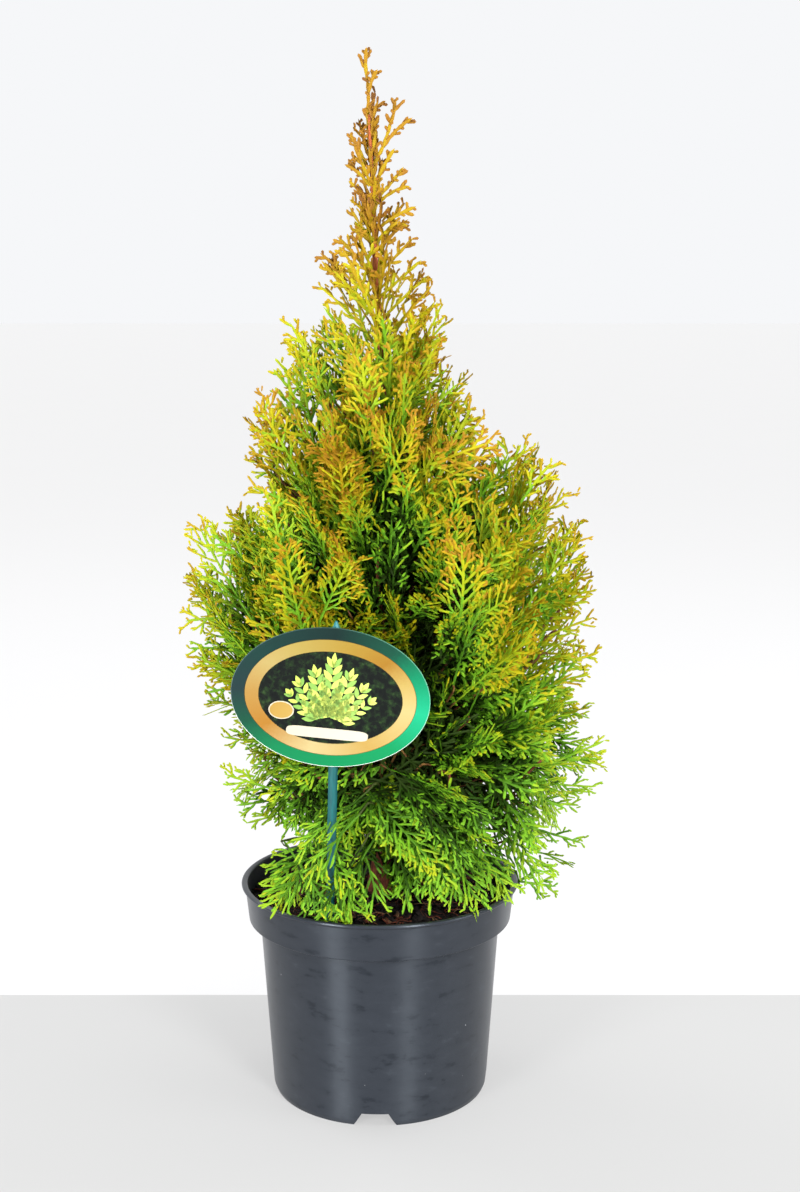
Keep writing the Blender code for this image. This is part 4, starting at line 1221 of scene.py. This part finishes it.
pot_mat, tree, bsdf = principled("nursery_pot_plastic", lin(30, 33, 38), 0.36, 0.44)
tc = tree.nodes.new("ShaderNodeTexCoord")
sep = tree.nodes.new("ShaderNodeSeparateXYZ")
tree.links.new(tc.outputs["Object"], sep.inputs[0])
ang = maths(tree, "ARCTAN2", sep.outputs["Y"], sep.outputs["X"])
comb = tree.nodes.new("ShaderNodeCombineXYZ")
tree.links.new(maths(tree, "MULTIPLY", maths(tree, "COSINE", ang), 2.2), comb.inputs[0])
tree.links.new(maths(tree, "MULTIPLY", maths(tree, "SINE", ang), 2.2), comb.inputs[1])
tree.links.new(maths(tree, "MULTIPLY", sep.outputs["Z"], 78.0), comb.inputs[2])
scuff = noise_tex(tree, comb.outputs[0], 2.2, 5, 0.62)
fine = tree.nodes.new("ShaderNodeCombineXYZ")
tree.links.new(maths(tree, "MULTIPLY", maths(tree, "COSINE", ang), 3.0), fine.inputs[0])
tree.links.new(maths(tree, "MULTIPLY", maths(tree, "SINE", ang), 3.0), fine.inputs[1])
tree.links.new(maths(tree, "MULTIPLY", sep.outputs["Z"], 1500.0), fine.inputs[2])
lines = noise_tex(tree, fine.outputs[0], 1.0, 2)
smudge = noise_tex(tree, mapped(tree), 22, 4)
specks = tree.nodes.new("ShaderNodeTexVoronoi")
specks.inputs["Scale"].default_value = 70
tree.links.new(tc.outputs["Object"], specks.inputs["Vector"])
speck = maths(tree, "LESS_THAN", specks.outputs["Distance"], 0.028)
base = ramp(tree, scuff, [(0.28, lin(18, 21, 27)), (0.36, lin(25, 28, 34)), (0.42, lin(34, 37, 43)),
                          (0.62, lin(37, 40, 46)), (0.78, lin(49, 53, 59))])
mix = tree.nodes.new("ShaderNodeMix")
mix.data_type = "RGBA"
tree.links.new(maths(tree, "MULTIPLY", speck, 0.55), mix.inputs["Factor"])
tree.links.new(base, mix.inputs[6])
mix.inputs[7].default_value = (*lin(170, 172, 176), 1)
tree.links.new(mix.outputs[2], bsdf.inputs["Base Color"])
tree.links.new(ramp(tree, maths(tree, "ADD", maths(tree, "MULTIPLY", scuff, 0.5),
                                maths(tree, "MULTIPLY", smudge, 0.5)),
                    [(0.3, (0.31,) * 3), (0.5, (0.34,) * 3), (0.7, (0.40,) * 3)]),
               bsdf.inputs["Roughness"])
bump(tree, bsdf, maths(tree, "ADD", maths(tree, "MULTIPLY", lines, 0.25), scuff), 0.04, 0.0003)
bsdf.inputs["Anisotropic"].default_value = 0.9
bsdf.inputs["Specular Tint"].default_value = (0.80, 0.90, 1.0, 1.0)
bsdf.inputs["Anisotropic Rotation"].default_value = 0.25
tangent = tree.nodes.new("ShaderNodeTangent")
tangent.direction_type, tangent.axis = "RADIAL", "Z"
tree.links.new(tangent.outputs["Tangent"], bsdf.inputs["Tangent"])
pot.data.materials.clear()
pot.data.materials.append(pot_mat)
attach(pot, "root")
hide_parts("pot")

# -------------------------------------------------------------------- soil
soil_mat, tree, bsdf = principled("compost", lin(34, 24, 20), 0.93, 0.25)
n1 = noise_tex(tree, mapped(tree), 420, 6, 0.7)
n2 = noise_tex(tree, mapped(tree), 90, 3)
tree.links.new(ramp(tree, maths(tree, "ADD", maths(tree, "MULTIPLY", n1, 0.65),
                                maths(tree, "MULTIPLY", n2, 0.35)),
                    [(0.32, lin(8, 6, 5)), (0.50, lin(20, 14, 12)), (0.62, lin(32, 21, 17)),
                     (0.80, lin(60, 36, 26))]), bsdf.inputs["Base Color"])
bump(tree, bsdf, n1, 0.9, 0.0016)
rr = np.concatenate([np.linspace(0, 0.0772, 60)])
prof = np.array([(max(r_, 1e-5), 0.1188 - 0.0016 * (r_ / 0.077) ** 2) for r_ in rr])
v, q = turned(prof, 170)
for i in range(len(v)):
    p = Vector(v[i]) * 1000
    rad = math.hypot(v[i][0], v[i][1])
    edge = min(1.0, max(0.0, (0.0772 - rad) / 0.004))
    h = (1.4 * noise.noise(p * 0.09) + 1.3 * noise.noise(p * 0.28)
         + 0.9 * abs(noise.noise(p * 0.62)) + 0.5 * noise.noise(p * 1.3))
    v[i][2] += h * 0.001 * (0.35 + 0.65 * edge)
soil_pile = Pile()
skirt, sq = turned([(0.0772, 0.1172), (0.0756, 0.1085), (0.0704, 0.1030)], 170)
soil_pile.add(v, q[:, ::-1])
soil_pile.add(skirt, sq[:, ::-1])
soil = soil_pile.piece("compost", soil_mat, slot="potting_soil")
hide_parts("soil")

chip_r = np.random.default_rng(33)
chips = {"dark": Pile(), "red": Pile(), "tan": Pile()}
for k in range(620):
    rad = 0.0755 * math.sqrt(chip_r.random())
    a = chip_r.uniform(0, 2 * math.pi)
    size = np.array([chip_r.uniform(0.0015, 0.0065), chip_r.uniform(0.0009, 0.0026),
                     chip_r.uniform(0.0005, 0.0013)])
    bm = bmesh.new()
    bmesh.ops.create_icosphere(bm, subdivisions=1, radius=1)
    co = np.array([vv.co for vv in bm.verts]) * size * chip_r.uniform(0.7, 1.25, (12, 1))
    tri = np.array([[vv.index for vv in fc.verts] for fc in bm.faces])
    bm.free()
    rot = Matrix.Rotation(chip_r.uniform(0, 6.28), 3, "Z") @ Matrix.Rotation(
        chip_r.normal(0, 0.35), 3, "X") @ Matrix.Rotation(chip_r.normal(0, 0.3), 3, "Y")
    co = co @ np.array(rot).T
    co += (rad * math.cos(a), rad * math.sin(a), 0.1196 + chip_r.uniform(-0.0004, 0.0014)
           - 0.0016 * (rad / 0.077) ** 2)
    kind = chip_r.choice(["dark", "red", "tan"], p=[0.92, 0.06, 0.02])
    chips[kind].add(co, None, tri)
for k in range(240):
    rad = 0.071 * math.sqrt(chip_r.random())
    a = chip_r.uniform(0, 2 * math.pi)
    p = np.array([rad * math.cos(a), rad * math.sin(a), 0.1203])
    heading = chip_r.uniform(0, 6.28)
    pts = [p]
    for s in range(5):
        heading += chip_r.normal(0, 0.5)
        p = p + np.array([math.cos(heading), math.sin(heading), 0]) * chip_r.uniform(0.002, 0.004)
        if np.hypot(p[0], p[1]) > 0.075:
            break
        pts.append(p + (0, 0, chip_r.uniform(-0.0006, 0.0022)))
    if len(pts) > 3:
        chips["red" if chip_r.random() < 0.75 else "tan"].add(
            *tube(spline(pts, 9), np.full(9, chip_r.uniform(0.00018, 0.0004)), 4, cap=False))
for kind, colours in {"dark": (lin(12, 8, 7), lin(32, 22, 18)),
                      "red": (lin(58, 28, 18), lin(104, 50, 30)),
                      "tan": (lin(84, 58, 40), lin(126, 94, 64))}.items():
    m, tree, bsdf = principled("compost_" + kind, colours[0], 0.85, 0.3)
    tree.links.new(ramp(tree, noise_tex(tree, mapped(tree), 500, 3),
                        [(0.35, colours[0]), (0.65, colours[1])]), bsdf.inputs["Base Color"])
    chips[kind].piece("compost_bits_" + kind, m, smooth=False, slot="potting_soil")

# ------------------------------------------------------------------- label
tilt = math.atan2(-STICK_DIR[1], STICK_DIR[2])
roll = math.radians(6.0)
BOARD_M = (Matrix.Translation(Vector(BOARD_C))
           @ Matrix.Rotation(math.radians(90) + tilt, 4, "X")
           @ Matrix.Rotation(-roll, 4, "Z"))
A_, B_ = 0.0545, 0.0398


def label_material(name, stops, along=(1.0, -0.35), rough=0.24):
    """Printed plastic whose colour runs across the card."""
    m, tree, bsdf = principled(name, stops[0][1], rough, 0.22)
    tc = tree.nodes.new("ShaderNodeTexCoord")
    sep = tree.nodes.new("ShaderNodeSeparateXYZ")
    tree.links.new(tc.outputs["Object"], sep.inputs[0])
    if along == "round":
        # once round the card, from its left end by the top
        f = maths(tree, "ARCTAN2", maths(tree, "MULTIPLY", sep.outputs["Y"], -A_ / B_),
                  maths(tree, "MULTIPLY", sep.outputs["X"], 1.0))
        f = maths(tree, "MULTIPLY", f, 0.5 / math.pi)
    elif along == "mottled":
        f = maths(tree, "SUBTRACT", noise_tex(tree, tc.outputs["Object"], 260, 5, 0.6), 0.5)
    else:
        f = maths(tree, "ADD",
                  maths(tree, "MULTIPLY", sep.outputs["X"], along[0] / (2 * A_)),
                  maths(tree, "MULTIPLY", sep.outputs["Y"], along[1] / (2 * A_)))
    f = maths(tree, "ADD", f, 0.5)
    grain = noise_tex(tree, tc.outputs["Object"], 700, 2)
    f = maths(tree, "ADD", f, maths(tree, "MULTIPLY", maths(tree, "SUBTRACT", grain, 0.5), 0.02))
    tree.links.new(ramp(tree, f, stops), bsdf.inputs["Base Color"])
    bump(tree, bsdf, noise_tex(tree, tc.outputs["Object"], 60, 2), 0.05, 0.0004)
    return m


mats = [
    label_material("card_edge", [(0.0, lin(70, 92, 90)), (0.25, lin(40, 66, 60)),
                                 (0.5, lin(110, 180, 150)), (0.62, lin(214, 226, 220)),
                                 (0.88, lin(226, 232, 228)), (1.0, lin(70, 92, 90))],
                   along="round"),
    # round the card: 0 left end, 0.25 top, 0.5 right end, 0.75 foot
    label_material("card_green", [(0.0, lin(24, 42, 44)), (0.10, lin(16, 46, 42)),
                                  (0.25, lin(10, 32, 30)), (0.36, lin(12, 62, 46)),
                                  (0.44, lin(10, 118, 80)), (0.52, lin(22, 150, 108)),
                                  (0.62, lin(10, 122, 72)), (0.72, lin(8, 114, 66)),
                                  (0.84, lin(10, 104, 62)), (0.92, lin(14, 64, 46)),
                                  (1.0, lin(24, 42, 44))], along="round"),
    label_material("card_line", [(0, lin(44, 38, 16)), (1, lin(66, 54, 20))]),
    label_material("card_gold", [(0.0, lin(145, 112, 56)), (0.09, lin(150, 132, 80)),
                                 (0.18, lin(142, 124, 62)), (0.28, lin(138, 112, 42)),
                                 (0.37, lin(134, 96, 30)), (0.44, lin(158, 136, 74)),
                                 (0.52, lin(170, 152, 100)), (0.66, lin(156, 128, 66)),
                                 (0.78, lin(166, 150, 104)), (0.90, lin(142, 98, 34)),
                                 (1.0, lin(145, 112, 56))], along="round"),
    label_material("card_picture", [(0.30, lin(5, 8, 8)), (0.48, lin(10, 16, 12)),
                                    (0.60, lin(22, 38, 18)), (0.72, lin(46, 68, 34))],
                   along="mottled"),
]
SEG = 160
ang = np.linspace(0, 2 * np.pi, SEG, endpoint=False)
bands = [(1.0, 0), (0.9955, 1), (0.836, 2), (0.830, 3), (0.664, 2), (0.658, 4), (0.46, 4), (0.2, 4)]
h = 0.00045
verts, faces, fmat = [], [], []


def oval(k, z):
    # inner ovals shrink by an even margin rather than by share
    m = (1 - k) * B_
    return [((A_ - m * 1.12) * math.cos(t_), (B_ - m) * math.sin(t_), z) for t_ in ang]


rings_ = [oval(k, h) for k, _ in bands]
back_ring = oval(1.0, -h)
bevel_f, bevel_b = oval(1.003, h * 0.6), oval(1.003, -h * 0.6)
order_ = [back_ring, bevel_b, bevel_f] + rings_
for ring_ in order_:
    verts += ring_
for i in range(len(order_) - 1):
    for j in range(SEG):
        k = (j + 1) % SEG
        faces.append((i * SEG + j, i * SEG + k, (i + 1) * SEG + k, (i + 1) * SEG + j))
        fmat.append(0 if i < 3 else bands[i - 3][1])
verts.append((0, 0, h))
last = (len(order_) - 1) * SEG
for j in range(SEG):
    faces.append((last + j, last + (j + 1) % SEG, len(verts) - 1))
    fmat.append(4)
verts.append((0, 0, -h))
for j in range(SEG):
    faces.append(((j + 1) % SEG, j, len(verts) - 1))
    fmat.append(0)
mesh = bpy.data.meshes.new("label_card")
mesh.from_pydata(verts, [], faces)
for m in mats:
    mesh.materials.append(m)
mesh.polygons.foreach_set("material_index", fmat)
mesh.update()
card = bpy.data.objects.new("label_card", mesh)
bpy.context.scene.collection.objects.link(card)
card.matrix_world = BOARD_M
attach(card, "root")
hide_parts("label_board")


def inlay(name, outline_list, lift, mats_, thickness=0.00012):
    """Flat printed shapes, as thin raised plates on the card."""
    pv, pf, pm = [], [], []
    for outline, slot_ in outline_list:
        b = len(pv)
        n_ = len(outline)
        pv += [(x, y, lift + thickness) for x, y in outline]
        pv += [(x, y, lift - 0.00004) for x, y in outline]
        cx = sum(x for x, _ in outline) / n_
        cy = sum(y for _, y in outline) / n_
        pv.append((cx, cy, lift + thickness))
        for j in range(n_):
            k = (j + 1) % n_
            pf.append((b + j, b + k, b + 2 * n_))
            pf.append((b + n_ + j, b + n_ + k, b + k, b + j))
            pm += [slot_, slot_]
    me = bpy.data.meshes.new(name)
    me.from_pydata(pv, [], pf)
    for m in mats_:
        me.materials.append(m)
    me.polygons.foreach_set("material_index", pm)
    me.update()
    ob = bpy.data.objects.new(name, me)
    bpy.context.scene.collection.objects.link(ob)
    ob.matrix_world = BOARD_M
    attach(ob, "root")
    return ob


def leaf_outline(x, y, length, width, angle, n_=14):
    out = []
    for j in range(n_ * 2):
        s = j / n_ if j < n_ else 2 - j / n_
        side_ = 1 if j < n_ else -1
        u_ = s * length
        w_ = side_ * width * math.sin(math.pi * s) ** 0.8 * (1 - 0.25 * s)
        out.append((x + u_ * math.cos(angle) - w_ * math.sin(angle),
                    y + u_ * math.sin(angle) + w_ * math.cos(angle)))
    return out


leafy = label_material("card_leaf_light", [(0.2, lin(168, 190, 78)), (0.8, lin(196, 206, 104))])
leafy2 = label_material("card_leaf_mid", [(0.2, lin(104, 146, 66)), (0.8, lin(140, 172, 84))])
cream = label_material("card_cream", [(0, lin(176, 166, 142)), (1, lin(188, 182, 166))])
disc = label_material("card_disc", [(0.1, lin(146, 112, 44)), (0.5, lin(166, 140, 76))])
shapes = []
for lean_, size_, count_ in ((-1.25, 0.82, 5), (1.25, 0.82, 5), (-0.85, 1.0, 6), (0.85, 1.0, 6),
                             (-0.42, 1.12, 7), (0.42, 1.12, 7), (0.0, 1.24, 8)):
    for j in range(count_):
        s = 0.12 + 0.88 * j / (count_ - 1)
        px = -lean_ * 0.0150 * s * size_ - lean_ * 0.0045
        py = -0.0150 + (0.0262 - 0.0075 * abs(lean_)) * s * size_
        ln = (0.0092 - 0.0034 * s) * size_
        for side_ in (1, -1):
            shapes.append((leaf_outline(px, py, ln, ln * 0.23, math.pi / 2 + lean_ * 0.6
                                        + side_ * (0.85 - 0.25 * s)),
                           (j + (side_ > 0)) % 2))
    shapes.append((leaf_outline(px, py, 0.0070 * size_, 0.0016, math.pi / 2 + lean_ * 0.6), 0))
bar = [(0.0225 * math.copysign(abs(math.cos(t_)) ** 0.25, math.cos(t_)),
        -0.0205 + 0.0030 * math.copysign(abs(math.sin(t_)) ** 0.6, math.sin(t_)))
       for t_ in np.linspace(0, 2 * np.pi, 60, endpoint=False)]
inlay("label_sprigs", shapes, h + 0.00002, [leafy, leafy2])
inlay("label_bar", [(bar, 0)], h + 0.00022, [cream])
ring1 = [(-0.0262 + 0.0070 * math.cos(t_), -0.0095 + 0.0052 * math.sin(t_)) for t_ in ang[::3]]
ring2 = [(-0.0262 + 0.0063 * math.cos(t_), -0.0095 + 0.0046 * math.sin(t_)) for t_ in ang[::3]]
inlay("label_disc", [(ring1, 0)], h + 0.00022, [cream])
inlay("label_disc_face", [(ring2, 0)], h + 0.00034, [disc])

stick_mat, tree, bsdf = principled("stick_plastic", lin(0, 82, 84), 0.38, 0.5)
tree.links.new(ramp(tree, noise_tex(tree, mapped(tree, (1, 1, 0.15)), 500, 3),
                    [(0.3, lin(0, 66, 70)), (0.7, lin(4, 92, 92))]), bsdf.inputs["Base Color"])
bump(tree, bsdf, noise_tex(tree, mapped(tree, (1, 1, 0.2)), 900, 2), 0.1, 0.0002)
# a strip with a rib down its back
side_ = unit(np.cross(STICK_DIR, [0, 1, 0]))
back_ = unit(np.cross(side_, STICK_DIR))
if back_[1] < 0:
    back_ = -back_
sect = np.array([(-0.0029, -0.0004), (-0.0004, -0.0012), (0.0004, -0.0012), (0.0029, -0.0002),
                 (0.0029, 0.0005), (0.0006, 0.0006), (0.0005, 0.0022), (-0.0005, 0.0022),
                 (-0.0006, 0.0006), (-0.0029, 0.0005)])
levels = np.linspace(0.0, 1.0, 30)
rows = []
total = np.linalg.norm(STICK_HEAD - STICK_FOOT)
for s in levels:
    k = min(1.0, 0.25 + s * 8) * (0.74 + 0.26 * s)
    c_ = STICK_FOOT + STICK_DIR * total * s
    rows.append(c_ + sect[:, :1] * k * side_ + sect[:, 1:] * k * back_)
v = np.concatenate(rows)
n_ = len(sect)
i = np.arange(len(levels) - 1)[:, None] * n_
j = np.arange(n_)[None, :]
k = (j + 1) % n_
q = np.stack([i + j, i + k, i + n_ + k, i + n_ + j], -1).reshape(-1, 4)
v = np.vstack([v, rows[0].mean(0), rows[-1].mean(0)])
jj = np.arange(n_)
kk = (jj + 1) % n_
lastrow = (len(levels) - 1) * n_
t = np.concatenate([np.stack([np.full(n_, len(v) - 2), kk, jj], -1),
                    np.stack([np.full(n_, len(v) - 1), lastrow + jj, lastrow + kk], -1)])
stick = make_mesh("label_stick_ribbed", v, [q, t], stick_mat, smooth=False, slot="label_stick")
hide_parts("label_stick")

peg_prof = rounded([(0.00005, 0.0), (0.0024, 0.0), (0.0031, 0.0018), (0.0028, 0.0036),
                    (0.0013, 0.0068), (0.0006, 0.0086), (0.00005, 0.0088)], 0.0009, 3)
v, q = turned(peg_prof, 36)
rot = Vector((0, 0, 1)).rotation_difference(Vector(STICK_DIR)).to_matrix()
v = v @ np.array(rot).T + (STICK_HEAD - STICK_DIR * 0.0004)
peg_mat, tree, bsdf = principled("peg_plastic", lin(16, 104, 108), 0.3, 0.5)
tree.links.new(ramp(tree, noise_tex(tree, mapped(tree), 400, 2),
                    [(0.3, lin(12, 92, 98)), (0.7, lin(22, 112, 114))]), bsdf.inputs["Base Color"])
peg = make_mesh("label_peg_cone", v, [q], peg_mat, slot="label_stick")
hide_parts("label_peg")

# ------------------------------------------------------------------- stage
def stage_plane(name, x0, x1, y0, y1, z, colour, glow):
    me = bpy.data.meshes.new(name)
    me.from_pydata([(x0, y0, z), (x1, y0, z), (x1, y1, z), (x0, y1, z)], [], [(0, 1, 2, 3)])
    m, tree, bsdf = principled(name + "_mat", colour, 0.8, 0.2)
    bsdf.inputs["Emission Color"].default_value = (1, 1, 1, 1)
    bsdf.inputs["Emission Strength"].default_value = glow
    n = noise_tex(tree, mapped(tree), 3.0, 4)
    tree.links.new(ramp(tree, n, [(0.3, [c * 0.97 for c in colour]), (0.7, colour)]),
                   bsdf.inputs["Base Color"])
    me.materials.append(m)
    ob = bpy.data.objects.new(name, me)
    bpy.context.scene.collection.objects.link(ob)
    return ob


stage_plane("floor_front", -5, 5, -5, 0.127, 0.0, (0.16, 0.16, 0.159), 0.49)
stage_plane("floor_back", -40, 40, 0.127, 60, 0.0, (0.14, 0.14, 0.145), 0.78)

world = bpy.data.worlds.new("soft_white")
bpy.context.scene.world = world
world.use_nodes = True
tree = world.node_tree
bg = tree.nodes["Background"]
tc = tree.nodes.new("ShaderNodeTexCoord")
sep = tree.nodes.new("ShaderNodeSeparateXYZ")
tree.links.new(tc.outputs["Generated"], sep.inputs[0])
tree.links.new(ramp(tree, maths(tree, "ADD", maths(tree, "MULTIPLY", sep.outputs["Y"], 0.5), 0.5),
                    [(0.40, (0.17, 0.173, 0.177)), (0.66, (0.921, 0.930, 0.947))]),
               bg.inputs["Color"])
bg.inputs["Strength"].default_value = 1.0


def area_light(name, place, target, size, energy, colour=(1, 1, 1)):
    data = bpy.data.lights.new(name, "AREA")
    data.shape = "RECTANGLE"
    data.size, data.size_y = size
    data.energy = energy
    data.color = colour
    ob = bpy.data.objects.new(name, data)
    ob.location = place
    ob.rotation_mode = "QUATERNION"
    ob.rotation_quaternion = (Vector(target) - Vector(place)).to_track_quat("-Z", "Y")
    bpy.context.scene.collection.objects.link(ob)
    return ob


def around(azimuth, elevation, distance, height=0.3):
    a, e = math.radians(azimuth), math.radians(elevation)
    return (math.sin(a) * math.cos(e) * distance, -math.cos(a) * math.cos(e) * distance,
            height + math.sin(e) * distance)


area_light("softbox_left", around(-37, 1, 1.8), (0, 0, 0.12), (0.50, 1.10), 52)
area_light("softbox_right", around(28, 14, 1.8), (0, 0, 0.24), (0.42, 1.20), 40)
area_light("overhead", (0.2, -0.7, 2.8), (0, 0, 0.2), (1.4, 1.4), 28)
area_light("back_left", around(-125, 38, 2.1), (-0.05, 0, 0.28), (1.0, 1.0), 15)
area_light("back_right", around(125, 38, 2.1), (0.05, 0, 0.28), (1.0, 1.0), 12)
area_light("fill_right", around(72, 22, 2.2), (0.05, 0, 0.28), (0.9, 0.9), 18)

# ------------------------------------------------------------------ camera
cam_data = bpy.data.cameras.new("camera")
cam_data.sensor_width = 36
cam_data.sensor_fit = "AUTO"
cam_data.lens = 1698.0 / 1192.0 * 36
cam = bpy.data.objects.new("camera", cam_data)
cam.location = (0.0122, -0.985, 0.467)
cam.rotation_euler = (math.radians(90 - 9.56), 0, 0)
bpy.context.scene.collection.objects.link(cam)
bpy.context.scene.camera = cam
bpy.context.scene.view_settings.view_transform = "Standard"
bpy.context.scene.view_settings.look = "None"
